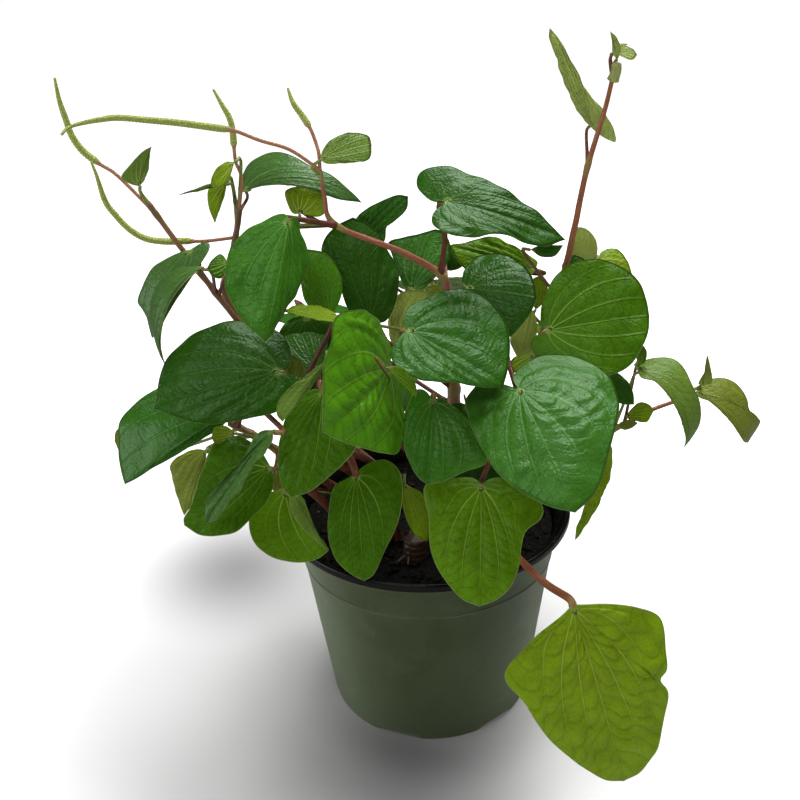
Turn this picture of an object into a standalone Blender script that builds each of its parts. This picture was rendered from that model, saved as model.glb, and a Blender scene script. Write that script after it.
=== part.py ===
"""A peperomia in a plastic nursery pot: pot, soil, stems, leaves and flower spikes.

Every size and place below is in millimetres, with the origin at the centre of the
pot's underside and +Z up. The plant is built piece by piece: each stem, each leaf with
its stalk, and each flower spike with its stalk is one closed body.
"""
from math import cos, pi, radians, sin, sqrt

import bmesh
import bpy
import numpy as np

MM = 0.001                   # one millimetre in Blender's metres
GAP = 0.35                   # air left between two pieces that meet

# Pot
LIP_RADIUS = 76.0
LIP_HEIGHT = 4.0
POT_HEIGHT = 114.8
FOOT_RADIUS = 54.9
WALL = 1.3
BAND_HEIGHT = 89.5           # fine raised line round the wall
BAND_RADIUS = 67.0
NECK_RADIUS = 68.9           # where the wall starts to flare into the lip
NECK_HEIGHT = 103.0
FLOOR_RISE = 4.0             # the underside is raised between its pad and its foot ring
FLOOR_TOP = 5.5
PAD_RADIUS = 18.0
POT_SIDES = 40
NOTCHES = 6                  # shallow arches in the foot ring that let water out
NOTCH_FIRST = -112.0         # degrees from +X
NOTCH_WIDTH = 24.0
NOTCH_HEIGHT = 3.0
DRAINS = 6
DRAIN_RADIUS = 5.0
DRAIN_PLACE = 38.0

# Soil
SOIL_LEVEL = 103.0
SOIL_MOUND = 2.0
SOIL_RINGS = 4
SOIL_SIDES = 24
ROOT_DEPTH = 10.0            # how far a stem reaches down into the soil

# Plant
STEM_SIDES = 7
STEM_STEP = 10.0
SOIL_CLEAR = 107.0           # stems rise straight out of the soil up to this height
STALK_SIDES = 5
STALK_STEP = 11.0
STALK_RADIUS = 1.3
STALK_REACH = 1.0            # how far a leaf's stalk runs on into its blade
BLADE_RINGS = (0.55, 1.0)
BENT_RINGS = (0.25, 0.5, 0.75, 1.0)    # for leaves that bend more than BENT
BENT = 60
BLADE_THICKNESS = 1.1
SPIKE_SIDES = 6
SPIKE_STEP = 6.0
SPIKE_STALK_RADIUS = 0.8
SPIKE_RADIUS = 1.5
SPIKE_TIP_RADIUS = 0.5
STUMP_PLACE = (-7, -36)
STUMP_RADIUS = 6.5
STUMP_TOP = 116.0

# Half the outline of a leaf laid flat, from its tip back to the lobe beside its stalk:
# distance along the midrib in lengths, and distance from it in widths. The lobe's own
# reach behind the stalk is added to the last two points.
HALF_OUTLINE = [(0.94, 0.13), (0.77, 0.32), (0.50, 0.46), (0.18, 0.50)]
LOBE_OUTLINE = [(0.08, 0.40, -0.75), (0.0, 0.20, -1.0)]
NOTCH = -0.03

COLOURS = {
    "dark": (0.035, 0.115, 0.030), "mid": (0.075, 0.200, 0.030), "lime": (0.170, 0.300, 0.030),
    "olive": (0.200, 0.240, 0.055), "stem": (0.270, 0.085, 0.050), "spike": (0.350, 0.430, 0.090),
    "pot": (0.045, 0.060, 0.030), "soil": (0.012, 0.009, 0.007), "bark": (0.090, 0.060, 0.035),
}
ROUGHNESS = {"dark": 0.35, "mid": 0.38, "lime": 0.42, "olive": 0.55, "stem": 0.45,
             "spike": 0.60, "pot": 0.55, "soil": 0.95, "bark": 0.85}

# Each stem: the points it passes through, then its radius at the soil and at its end.
STEMS = {
    "stem_centre": ([(18, 2), (17, 0, 150), (15, 0, 195), (13, 0, 233), (9, -1, 242),
                     (-9, -6, 255), (-38, -14, 271), (-42, -16, 285), (-43, -18, 297)], 3.8, 1.4),
    "stem_left": ([(-24, 0), (-32, -2, 125), (-54, -10, 168), (-76, -15, 209),
                   (-95, -18, 242), (-109, -19, 266), (-120, -20, 286)], 2.6, 1.3),
    "stem_back_left": ([(-12, 16), (-24, 12, 128), (-50, 2, 162), (-72, -6, 196), (-92, -9, 236),
                        (-90, -10, 250), (-84, -12, 267), (-81, -12, 280)], 2.6, 1.3),
    "stem_right_tall": ([(30, 10), (40, 12, 140), (58, 14, 190), (70, 13, 228),
                         (75, 8, 259), (79, 5, 287), (86, 5, 314), (90, 5, 334)], 3.0, 1.1),
    "stem_right": ([(36, -6), (48, -9, 128), (74, -14, 150), (96, -15, 162),
                    (114, -12, 170), (126, -9, 173), (134, -6, 177)], 2.6, 1.1),
    "stem_front_left": ([(-16, -20), (-26, -26, 124), (-44, -32, 143), (-62, -33, 158),
                         (-82, -27, 171), (-95, -24, 178)], 3.0, 1.8),
    "stem_front": ([(5, -20), (4, -22, 130), (-5, -27, 165), (-10, -29, 196)], 3.0, 1.8),
    "stem_front_right": ([(24, -14), (28, -18, 140), (35, -26, 190), (38, -33, 222)], 3.0, 1.5),
    "stem_back": ([(14, 28), (17, 40, 140), (14, 50, 185), (2, 56, 222)], 3.0, 1.6),
}

# What a leaf does unless its own line says otherwise. Its stalk leaves its stem at a height
# and passes through the points of its route; base is where the stalk meets the blade. Angles
# are in degrees: bend along the length, fold along the midrib, curl of each margin. The lobe
# is the depth behind the stalk in lengths, skew slants the leaf, a positive lean makes its
# left half the broader one, and taper narrows it towards its tip.
LEAF_HABIT = dict(route=(), bend=15, fold=0, curl=(-8, -8), lobe=0.2, skew=0.0, lean=0.0,
                  taper=0.15)

LEAVES = {
    "leaf_front_large": dict(
        stem="stem_front_right", height=214, base=(43, -62, 205), tip=(66, -92, 162), width=68,
        face=(0.0, -0.8, 0.6), bend=25, fold=-4, curl=(-10, -10), lobe=0.28, colour="dark"),
    "leaf_centre_top": dict(
        stem="stem_centre", height=196, route=[(4, -24, 214)], base=(-5, -48, 232), tip=(35, -65, 217),
        width=54, face=(0.0, -0.5, 0.87), fold=5, curl=(-10, -10), colour="dark"),
    "leaf_centre_bright": dict(
        stem="stem_front", height=192, base=(-17, -52, 214), tip=(-44, -96, 209), width=66,
        face=(0.8, -0.55, 0.3), bend=25, fold=6, curl=(-12, -12), lobe=0.3, colour="mid"),
    "leaf_centre_low": dict(
        stem="stem_front", height=165, base=(8, -50, 199), tip=(-2, -74, 168), width=36,
        face=(0.15, -0.9, 0.4), fold=10, curl=(-10, -10), lobe=0.1, lean=0.1, colour="dark"),
    "leaf_over_rim_left": dict(
        stem="stem_front_left", height=128, base=(-34, -45, 157), tip=(-31, -70, 117), width=36,
        face=(0.0, -0.85, 0.5), bend=18, fold=6, lobe=0.1, lean=0.35, colour="dark"),
    "leaf_over_rim_front": dict(
        stem="stem_front_right", height=130, route=[(31, -44, 166)], base=(24, -60, 158),
        tip=(21, -97, 117), width=51, face=(0.0, -0.75, 0.65), bend=20, fold=4, curl=(-10, -10),
        lobe=0.05, colour="mid"),
    "leaf_hanging": dict(
        stem="stem_front_right", height=112, route=[(44, -60, 121)], base=(63, -98, 111),
        tip=(84.5, -118, 31), width=74, face=(0.1, -0.95, 0.2), bend=20, fold=4, curl=(-12, -12),
        lobe=0.07, taper=0.0, colour="lime"),
    "leaf_left_large": dict(
        stem="stem_left", height=190, base=(-67, -50, 222), tip=(-120, -62, 207), width=54,
        face=(-0.15, -0.6, 0.8), bend=28, curl=(-12, -12), colour="dark"),
    "leaf_left_low": dict(
        stem="stem_front_left", height=176, base=(-100, -38, 186), tip=(-146, -42, 155), width=36,
        face=(-0.3, -0.85, 0.5), bend=25, fold=-8, curl=(-10, -10), lobe=0.1, lean=-0.6, colour="dark"),
    "leaf_lower_left_broad": dict(
        stem="stem_front_left", height=164, base=(-72, -59, 175), tip=(-106, -79, 152), width=46,
        face=(-0.2, -0.75, 0.6), bend=20, lobe=0.05, colour="mid"),
    "leaf_lower_left_folded": dict(
        stem="stem_left", height=188, route=[(-76, -42, 196)], base=(-72, -70, 193),
        tip=(-97, -93, 162), width=26, face=(-0.6, -0.6, 0.5), bend=12, fold=30, curl=(0, 0), lobe=0.05, colour="mid"),
    "leaf_lower_left_pale": dict(
        stem="stem_front_left", height=172, base=(-107, -16, 151), tip=(-121, -30, 125), width=38,
        face=(-0.3, -0.85, 0.4), bend=18, curl=(-10, -10), colour="olive"),
    "leaf_rim_left_bright": dict(
        stem="stem_front_left", height=140, base=(-69, -46, 148), tip=(-48, -63, 126), width=36,
        face=(-0.2, -0.8, 0.5), fold=20, curl=(10, 10), lobe=0.05, lean=-0.45, colour="lime"),
    "leaf_lower_centre": dict(
        stem="stem_front", height=150, base=(-44, -56, 194), tip=(-62, -72, 163), width=40,
        face=(-0.1, -0.8, 0.6), bend=20, fold=5, colour="mid"),
    "leaf_hanging_upper_left": dict(
        stem="stem_centre", height=270, base=(-60, -36, 280), tip=(-69, -66, 236), width=48,
        face=(0.45, -0.75, 0.4), bend=20, fold=-30, lobe=0.1, colour="dark"),
    "leaf_upper_bright": dict(
        stem="stem_centre", height=272, base=(-51, -10, 275), tip=(-53, -1, 289), width=18,
        face=(0.0, -0.8, 0.4), bend=20, curl=(10, 10), colour="lime"),
    "leaf_top_small": dict(
        stem="stem_centre", height=294, base=(-37, -20, 303), tip=(-19, -8, 305), width=15,
        face=(0.1, -0.8, 0.6), bend=20, curl=(0, 0), colour="mid"),
    "leaf_upper_arching": dict(
        stem="stem_back_left", height=277, base=(-78, 0, 291), tip=(-25, 4, 272), width=18,
        face=(0.0, -0.3, 0.95), bend=90, curl=(-10, -10), lobe=0.1, colour="dark"),
    "leaf_young_upper_left": dict(
        stem="stem_back_left", height=274, base=(-84, -15, 291), tip=(-91, -22, 276), width=11,
        face=(-0.3, -0.9, 0.3), bend=10, fold=10, curl=(0, 0), lobe=0.4, colour="mid"),
    "leaf_middle_dark": dict(
        stem="stem_centre", height=180, route=[(-12, -6, 205)], base=(-26, -8, 226), tip=(-38, 10, 263),
        width=36, face=(0.0, -0.9, 0.45), colour="dark"),
    "leaf_middle_upper": dict(
        stem="stem_back", height=200, route=[(-22, 30, 232)], base=(-30, 18, 251), tip=(-4, 22, 275),
        width=20, face=(0.0, -0.9, 0.45), bend=10, fold=5, curl=(0, 0), colour="mid"),
    "leaf_left_middle": dict(
        stem="stem_left", height=185, base=(-46, -20, 232), tip=(-57, -6, 258), width=26,
        face=(-0.1, -0.85, 0.5), colour="mid"),
    "leaf_left_level": dict(
        stem="stem_centre", height=205, route=[(-22, -20, 224)], base=(-40, -27, 232),
        tip=(-62, -38, 239), width=18, face=(0.0, -0.15, 1.0), bend=10, curl=(0, 0), lobe=0.05,
        colour="lime"),
    "leaf_behind_stem": dict(
        stem="stem_centre", height=205, base=(-4, 10, 231), tip=(14, 26, 258), width=32,
        face=(0.0, -0.8, 0.6), fold=5, colour="dark"),
    "leaf_middle_pale": dict(
        stem="stem_back", height=205, base=(4, 26, 224), tip=(-12, 16, 200), width=20,
        face=(0.0, -0.9, 0.4), bend=10, curl=(0, 0), colour="olive"),
    "leaf_upper_right_broad": dict(
        stem="stem_centre", height=241, route=[(12, -8, 262)], base=(13, -15, 281), tip=(65, -25, 263),
        width=42, face=(0.1, -0.5, 0.87), bend=22, fold=8, curl=(-12, -12), skew=-0.35, colour="dark"),
    "leaf_right_lime": dict(
        stem="stem_back", height=210, route=[(10, 40, 234)], base=(28, 18, 246), tip=(61, 21, 235),
        width=26, face=(0.0, -0.8, 0.6), curl=(0, 0), lobe=0.05, colour="lime"),
    "leaf_centre_right_folded": dict(
        stem="stem_centre", height=216, base=(20, -20, 238), tip=(51, -31, 239), width=40,
        face=(0.0, -0.75, 0.65), bend=20, fold=14, colour="dark"),
    "leaf_right_large": dict(
        stem="stem_right_tall", height=200, base=(60, -30, 223), tip=(104, -30, 228), width=60,
        face=(0.1, -0.75, 0.65), fold=4, curl=(-10, -10), lobe=0.1, skew=0.3, colour="mid"),
    "leaf_right_arching": dict(
        stem="stem_right", height=161, route=[(97, -24, 182)], base=(101, -25, 196), tip=(124, -35, 160),
        width=22, face=(0.3, -0.7, 0.6), bend=90, fold=5, curl=(0, 0), lobe=0.1, colour="mid"),
    "leaf_right_end": dict(
        stem="stem_right", height=175, base=(140, -6, 182), tip=(166, -10, 150), width=20,
        face=(0.5, -0.5, 0.6), bend=70, curl=(0, 0), lobe=0.05, colour="olive"),
    "leaf_top_tall": dict(
        stem="stem_right_tall", height=288, base=(77, 10, 310), tip=(60, 5, 350), width=18,
        face=(0.6, -0.75, 0.25), bend=10, fold=10, curl=(0, 0), lobe=0.4, colour="mid"),
    "leaf_right_behind": dict(
        stem="stem_right_tall", height=205, base=(87, 20, 238), tip=(110, 14, 216), width=22,
        face=(0.2, -0.8, 0.5), colour="lime"),
    "leaf_right_drooping": dict(
        stem="stem_right", height=158, base=(85, -42, 166), tip=(69, -60, 126), width=13,
        face=(0.6, -0.7, 0.3), bend=20, curl=(0, 0), lobe=0.05, colour="lime"),
    "leaf_far_left_outer": dict(
        stem="stem_left", height=252, base=(-104, -27, 263), tip=(-119, -36, 214), width=20,
        face=(-0.75, -0.6, 0.2), bend=110, curl=(-10, -10), lobe=0.05, colour="dark"),
    "leaf_far_left_inner": dict(
        stem="stem_left", height=242, base=(-98, -40, 262), tip=(-115, -54, 257), width=14,
        face=(-0.5, -0.6, 0.6), bend=55, curl=(-10, -10), lobe=0.05, colour="dark"),
    "leaf_young_left_top": dict(
        stem="stem_left", height=284, base=(-123, -25, 296), tip=(-115, -23, 311), width=14,
        face=(0.0, -0.9, 0.3), bend=10, fold=20, curl=(0, 0), lobe=0.05, lean=0.7, colour="mid"),
    "leaf_inside_rim": dict(
        stem="stem_front_left", height=124, base=(-11, -40, 150), tip=(-1, -50, 122), width=16,
        face=(0.0, -0.9, 0.4), bend=10, curl=(0, 0), colour="olive"),
    "leaf_left_shaded": dict(
        stem="stem_back_left", height=170, base=(-50, -4, 202), tip=(-62, 14, 230), width=26,
        face=(0.2, -0.9, 0.4), bend=10, curl=(0, 0), colour="dark"),
    "leaf_back_left": dict(
        stem="stem_back_left", height=165, route=[(-46, 32, 190)], base=(-50, 44, 208),
        tip=(-88, 74, 190), width=50, face=(-0.3, 0.4, 0.85), bend=25, colour="dark"),
    "leaf_back_middle": dict(
        stem="stem_back", height=205, base=(10, 76, 212), tip=(18, 118, 186), width=54,
        face=(0.0, 0.45, 0.9), bend=25, fold=4, colour="dark"),
    "leaf_back_right": dict(
        stem="stem_right_tall", height=150, route=[(54, 34, 180)], base=(60, 46, 194),
        tip=(92, 78, 172), width=50, face=(0.3, 0.4, 0.85), bend=25, colour="mid"),
    "leaf_back_low": dict(
        stem="stem_back", height=150, base=(-14, 66, 168), tip=(-34, 104, 136), width=48,
        face=(-0.2, 0.7, 0.6), bend=25, fold=4, colour="mid"),
}

# Each flower spike: the stem and height it grows from, the points it passes through, and
# how many of them belong to its bare stalk.
SPIKES = {
    "flower_spike_left": ("stem_left", 280, [(-130, -13, 298), (-140, -17, 306), (-147, -20, 313),
                          (-150, -22, 326), (-150, -25, 340)], 2),
    "flower_spike_long": ("stem_centre", 296, [(-54, -22, 306), (-64, -26, 311), (-80, -32, 318),
                          (-94, -36, 322), (-113, -42, 326), (-127, -46, 328), (-143, -50, 323)], 3),
    "flower_spike_top": ("stem_centre", 297, [(-43, -16, 307), (-47, -14, 315), (-52, -12, 322),
                         (-56, -10, 331)], 2),
    "flower_spike_slender": ("stem_back_left", 279, [(-80, -10, 294), (-81, -9, 304), (-81, -8, 313),
                             (-85, -6, 326), (-88, -5, 331)], 3),
    "flower_spike_low": ("stem_back_left", 265, [(-98, -13, 265), (-112, -13, 266), (-124, -15, 269),
                         (-132, -18, 276), (-138, -21, 286), (-140, -25, 306)], 2),
}


# ---- curves ----------------------------------------------------------------------------

def smooth_route(points, step):
    """A Catmull-Rom curve through the points, cut into pieces of about one step."""
    p = np.array(points, float)
    p = np.vstack([2 * p[0] - p[1], p, 2 * p[-1] - p[-2]])
    dense = []
    for i in range(1, len(p) - 2):
        t = np.linspace(0, 1, 12, endpoint=False)[:, None]
        dense.append(0.5 * (2 * p[i] + (p[i + 1] - p[i - 1]) * t
                            + (2 * p[i - 1] - 5 * p[i] + 4 * p[i + 1] - p[i + 2]) * t ** 2
                            + (3 * p[i] - p[i - 1] - 3 * p[i + 1] + p[i + 2]) * t ** 3))
    dense = np.vstack(dense + [p[-2]])
    run = np.concatenate([[0], np.cumsum(np.linalg.norm(np.diff(dense, axis=0), axis=1))])
    count = max(2, int(round(run[-1] / step)) + 1)
    at = np.linspace(0, run[-1], count)
    return np.column_stack([np.interp(at, run, dense[:, k]) for k in range(3)])


def unit(v):
    return np.asarray(v, float) / np.linalg.norm(v)


# ---- meshes ----------------------------------------------------------------------------

def tube(path, radii, sides):
    """A closed round tube along a path, with a radius at each point."""
    path = np.asarray(path, float)
    tangents = np.gradient(path, axis=0)
    side = np.cross(tangents[0], (0, 0, 1) if abs(unit(tangents[0])[2]) < 0.9 else (0, 1, 0))
    verts = []
    for point, tangent, radius in zip(path, tangents, radii):
        tangent = unit(tangent)
        side = unit(side - tangent * side.dot(tangent))
        other = np.cross(tangent, side)
        for k in range(sides):
            a = 2 * pi * k / sides
            verts.append(point + radius * (cos(a) * side + sin(a) * other))
    faces = [tuple(range(sides))[::-1]]
    for i in range(len(path) - 1):
        for k in range(sides):
            m = (k + 1) % sides
            faces.append((i * sides + k, i * sides + m, (i + 1) * sides + m, (i + 1) * sides + k))
    last = (len(path) - 1) * sides
    faces.append(tuple(range(last, last + sides)))
    return verts, faces


def turned(profile, sides):
    """A solid of revolution: the profile runs from the axis out, up and back to the axis."""
    verts, rings = [], []
    for radius, height in profile:
        if radius == 0:
            rings.append([len(verts)] * sides)
            verts.append((0, 0, height))
        else:
            rings.append(range(len(verts), len(verts) + sides))
            verts += [(radius * cos(2 * pi * k / sides), radius * sin(2 * pi * k / sides), height)
                      for k in range(sides)]
    faces = []
    for low, high in zip(rings, rings[1:]):
        for k in range(sides):
            m = (k + 1) % sides
            corners = (low[k], low[m], high[m], high[k])
            faces.append(tuple(dict.fromkeys(corners)))
    return verts, faces


def make_object(name, verts, faces, colour):
    """An object from points in millimetres, with its faces turned outwards."""
    mesh = bpy.data.meshes.new(name)
    mesh.from_pydata([tuple(c * MM for c in v) for v in verts], [], faces)
    face_outwards(mesh)
    mesh.materials.append(material(colour))
    piece = bpy.data.objects.new(name, mesh)
    bpy.context.scene.collection.objects.link(piece)
    return piece


def face_outwards(mesh):
    bm = bmesh.new()
    bm.from_mesh(mesh)
    bmesh.ops.recalc_face_normals(bm, faces=bm.faces)
    if bm.calc_volume(signed=True) < 0:
        bmesh.ops.reverse_faces(bm, faces=bm.faces)
    bm.to_mesh(mesh)
    bm.free()


def combine(piece, other, operation):
    """Join another object to a piece, or cut it away, and drop the other object."""
    step = piece.modifiers.new("combine", "BOOLEAN")
    step.operation = operation
    step.solver = "EXACT"
    step.material_mode = "TRANSFER"
    step.object = other
    result = bpy.data.meshes.new_from_object(
        piece.evaluated_get(bpy.context.evaluated_depsgraph_get()))
    piece.modifiers.clear()
    old_mesh, other_mesh = piece.data, other.data
    result.name = old_mesh.name
    face_outwards(result)
    piece.data = result
    bpy.data.objects.remove(other)
    bpy.data.meshes.remove(old_mesh)
    bpy.data.meshes.remove(other_mesh)


def material(name):
    """The finish called name, made once."""
    made = bpy.data.materials.get(name)
    if made is None:
        made = bpy.data.materials.new(name)
        made.use_nodes = True
        shader = made.node_tree.nodes["Principled BSDF"]
        shader.inputs["Base Color"].default_value = (*COLOURS[name], 1.0)
        shader.inputs["Roughness"].default_value = ROUGHNESS[name]
    return made


# ---- pot and soil ----------------------------------------------------------------------

def pot_wall_radius(height):
    """The outer radius of the pot's wall at a height, below the flare."""
    return np.interp(height, [0, BAND_HEIGHT, NECK_HEIGHT], [FOOT_RADIUS, BAND_RADIUS, NECK_RADIUS])


def build_pot():
    lip_bottom = POT_HEIGHT - LIP_HEIGHT
    outside = [(0, 0), (PAD_RADIUS, 0), (PAD_RADIUS + 2, FLOOR_RISE), (FOOT_RADIUS - 7.5, FLOOR_RISE),
               (FOOT_RADIUS - 6, 0), (FOOT_RADIUS - 0.8, 0), (FOOT_RADIUS, 0.9),
               (BAND_RADIUS - 0.15, BAND_HEIGHT - 0.8), (BAND_RADIUS + 0.4, BAND_HEIGHT),
               (BAND_RADIUS + 0.1, BAND_HEIGHT + 0.8),
               (NECK_RADIUS, NECK_HEIGHT), (NECK_RADIUS + 1.2, NECK_HEIGHT + 4),
               (NECK_RADIUS + 3.6, lip_bottom), (LIP_RADIUS, lip_bottom)]
    lip = [(LIP_RADIUS, POT_HEIGHT - 0.8), (LIP_RADIUS - 0.8, POT_HEIGHT),
           (LIP_RADIUS - 1.8, POT_HEIGHT), (LIP_RADIUS - 2.6, POT_HEIGHT - 0.8)]
    inside = [(NECK_RADIUS + 2.2, lip_bottom), (NECK_RADIUS - WALL + 0.6, NECK_HEIGHT + 3),
              (NECK_RADIUS - WALL, NECK_HEIGHT), (BAND_RADIUS - WALL, BAND_HEIGHT),
              (FOOT_RADIUS - WALL + 0.4, FLOOR_TOP), (0, FLOOR_TOP)]
    verts, faces = turned(outside + lip + inside, POT_SIDES)
    pot = make_object("pot", verts, faces, "pot")
    cut_notches(pot)
    cut_drains(pot)


def cut_notches(pot):
    """Shallow arches through the foot ring."""
    for k in range(NOTCHES):
        a = radians(NOTCH_FIRST + 360 / NOTCHES * k)
        out, across = np.array((cos(a), sin(a), 0)), np.array((-sin(a), cos(a), 0))
        arch = [(NOTCH_WIDTH / 2 * cos(t), (NOTCH_HEIGHT + 1) * sin(t) - 1) for t in np.linspace(0, pi, 7)]
        rim = [out * r + across * u + np.array((0, 0, w))
               for r in (FOOT_RADIUS - 11, FOOT_RADIUS + 4) for u, w in arch]
        n = len(arch)
        faces = [tuple(range(n)), tuple(range(2 * n - 1, n - 1, -1))]
        faces += [(i, (i + 1) % n, n + (i + 1) % n, n + i) for i in range(n)]
        combine(pot, make_object("cutter", rim, faces, "pot"), "DIFFERENCE")


def cut_drains(pot):
    """Round holes through the raised floor, between the notches."""
    for k in range(DRAINS):
        a = radians(NOTCH_FIRST + 360 / DRAINS * (k + 0.5))
        x, y = DRAIN_PLACE * cos(a), DRAIN_PLACE * sin(a)
        verts, faces = tube([(x, y, -1), (x, y, FLOOR_TOP + 1)], (DRAIN_RADIUS, DRAIN_RADIUS), 10)
        combine(pot, make_object("cutter", verts, faces, "pot"), "DIFFERENCE")


def soil_height(x, y):
    """The lumpy top of the soil."""
    radius = sqrt(x * x + y * y)
    mound = SOIL_MOUND * cos(min(1.0, radius / 66) * pi / 2)
    lumps = 0.9 * sin(0.21 * x + 1.3) * cos(0.19 * y) + 0.5 * sin(0.43 * y + 0.2 * x)
    return SOIL_LEVEL + mound + lumps


def build_soil():
    bottom = FLOOR_TOP + GAP
    top_radius = pot_wall_radius(SOIL_LEVEL) - WALL - 0.8
    verts, faces = turned([(0, bottom), (FOOT_RADIUS - WALL - 0.8, bottom),
                           (top_radius, SOIL_LEVEL - 3)], SOIL_SIDES)
    first = len(verts)
    edge = list(range(first - SOIL_SIDES, first))
    for i in range(SOIL_RINGS):
        radius = top_radius * (1 - 0.012 - i / SOIL_RINGS * 0.95)
        for k in range(SOIL_SIDES):
            x, y = radius * cos(2 * pi * k / SOIL_SIDES), radius * sin(2 * pi * k / SOIL_SIDES)
            verts.append((x, y, soil_height(x, y)))
        ring = list(range(len(verts) - SOIL_SIDES, len(verts)))
        faces += [(edge[k], edge[(k + 1) % SOIL_SIDES], ring[(k + 1) % SOIL_SIDES], ring[k])
                  for k in range(SOIL_SIDES)]
        edge = ring
    verts.append((0, 0, soil_height(0, 0)))
    faces += [(edge[k], edge[(k + 1) % SOIL_SIDES], len(verts) - 1) for k in range(SOIL_SIDES)]
    soil = make_object("soil", verts, faces, "soil")
    for points, radius, _ in STEMS.values():
        plant_hole(soil, points[0], radius)
    plant_hole(soil, STUMP_PLACE, STUMP_RADIUS)


def plant_hole(soil, place, radius):
    """A socket in the soil for one stem."""
    x, y = place
    depth = SOIL_LEVEL - ROOT_DEPTH
    wide = radius + 2 * GAP
    verts, faces = tube([(x, y, depth - GAP), (x, y, POT_HEIGHT + 20)], (wide, wide), 10)
    combine(soil, make_object("cutter", verts, faces, "soil"), "DIFFERENCE")


# ---- plant -----------------------------------------------------------------------------

def build_stump():
    """The cut base of an old stem, ringed where its leaves stood."""
    x, y = STUMP_PLACE
    heights = [SOIL_LEVEL - ROOT_DEPTH, 106, 108, 109, 111.5, 112.5, STUMP_TOP - 0.8, STUMP_TOP]
    radii = [1.0, 0.95, 1.0, 0.9, 0.95, 0.86, 0.86, 0.7]
    verts, faces = tube([(x, y, h) for h in heights], [STUMP_RADIUS * r for r in radii], 10)
    make_object("stem_stump", verts, faces, "bark")


def stem_path(name):
    """The whole course of a stem, from its root in the soil to its end."""
    points, thick, thin = STEMS[name]
    x, y = points[0]
    rise = smooth_route([(x, y, SOIL_CLEAR)] + points[1:], STEM_STEP)
    path = np.vstack([[(x, y, SOIL_LEVEL - ROOT_DEPTH)], rise])
    radii = np.interp(path[:, 2], [SOIL_CLEAR, path[-1][2]], [thick, thin])
    radii[-1] = thin * 1.35
    return path, radii


def stem_joint(name, height):
    """Where a stem reaches a height: the point, its direction and its radius there."""
    path, radii = stem_path(name)
    above = min(int(np.searchsorted(path[:, 2], height)), len(path) - 1)
    below = above - 1
    share = min(1.0, (height - path[below][2]) / (path[above][2] - path[below][2]))
    centre = path[below] + (path[above] - path[below]) * share
    return centre, unit(path[above] - path[below]), max(radii[below], radii[above])


def leave_stem(name, height, toward, radius):
    """The first point of a stalk of this radius that leaves a stem and clears its side."""
    centre, along, stem_radius = stem_joint(name, height)
    way = unit(np.asarray(toward, float) - centre)
    slope = min(0.94, abs(way.dot(along)))
    rise = sqrt(1 - slope * slope)
    return centre + way * (stem_radius + GAP + 0.15 + radius * slope) / rise


def build_stem(name):
    path, radii = stem_path(name)
    verts, faces = tube(path, radii, STEM_SIDES)
    make_object(name, verts, faces, "stem")


def outline(leaf):
    """The flat outline of a whole leaf, starting at its tip and running down its left side."""
    half = HALF_OUTLINE + [(x + share * leaf["lobe"], y) for x, y, share in LOBE_OUTLINE]
    half = [(x, y * (1 - leaf["taper"] * max(x, 0))) for x, y in half]
    left = [(x, y * (1 + leaf["lean"])) for x, y in half]
    right = [(x, -y * (1 - leaf["lean"])) for x, y in half[::-1]]
    return np.array([(x + leaf["skew"] * y, y) for x, y in [(1, 0)] + left + [(NOTCH, 0)] + right])


def leaf_frame(leaf):
    """Forward, left and upward directions of a leaf."""
    forward = unit(np.subtract(leaf["tip"], leaf["base"]))
    up = np.asarray(leaf["face"], float)
    up = unit(up - forward * up.dot(forward))
    return forward, np.cross(up, forward), up


def blade_surface(flat, leaf):
    """Bend, fold and curl flat points (length along, across) into a leaf's middle surface."""
    forward, left, up = leaf_frame(leaf)
    base = np.asarray(leaf["base"], float)
    arc = radians(leaf["bend"])
    radius = np.linalg.norm(leaf["tip"] - base) / (2 * sin(arc / 2))
    start = radians(leaf["fold"])
    points = []
    for x, y in flat:
        turn = arc * (0.5 - x)
        middle = (base + forward * radius * (sin(arc / 2) - sin(turn))
                  + up * radius * (cos(turn) - cos(arc / 2)))
        normal = up * cos(turn) - forward * sin(turn)
        lean_out = start + radians(leaf["curl"][0 if y > 0 else 1]) * abs(y)
        reach = abs(y) * leaf["width"]
        points.append(middle + left * reach * cos(lean_out) * (1 if y >= 0 else -1)
                      + normal * reach * sin(lean_out))
    return np.array(points)


def build_blade(name, leaf):
    """A thin closed blade: two skins that meet at the margin."""
    rim = outline(leaf)
    n = len(rim)
    centre = blade_surface([(0, 0)], leaf)[0]
    shares = BENT_RINGS if leaf["bend"] > BENT else BLADE_RINGS
    grid = np.array([blade_surface(rim * share, leaf) for share in shares])
    around = np.roll(grid, -1, axis=1) - np.roll(grid, 1, axis=1)
    outward = grid - np.concatenate([np.broadcast_to(centre, grid[:1].shape), grid[:-1]])
    normals = np.cross(outward, around)
    normals /= np.linalg.norm(normals, axis=2, keepdims=True)
    normals = np.vstack([[unit(normals[0].sum(axis=0))], normals[:-1].reshape(-1, 3)])
    inner = np.vstack([centre[None], grid[:-1].reshape(-1, 3)])
    top = inner + normals * BLADE_THICKNESS / 2
    bottom = inner - normals * BLADE_THICKNESS / 2
    count = len(inner)
    margin = [2 * count + k for k in range(n)]
    top_edges = [[1 + r * n + k for k in range(n)] for r in range(len(shares) - 1)] + [margin]
    bottom_edges = [[count + k for k in edge] for edge in top_edges[:-1]] + [margin]
    faces = skin_faces(0, top_edges) + [face[::-1] for face in skin_faces(count, bottom_edges)]
    return make_object(name, np.vstack([top, bottom, grid[-1]]), faces, leaf["colour"])


def skin_faces(first, edges):
    """One skin of a blade: a fan round its first point, then bands out to the margin."""
    turns = range(len(edges[0]))
    faces = [(first, edges[0][k - 1], edges[0][k]) for k in turns]
    for low, high in zip(edges, edges[1:]):
        faces += [(low[k - 1], high[k - 1], high[k], low[k]) for k in turns]
    return faces


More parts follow.
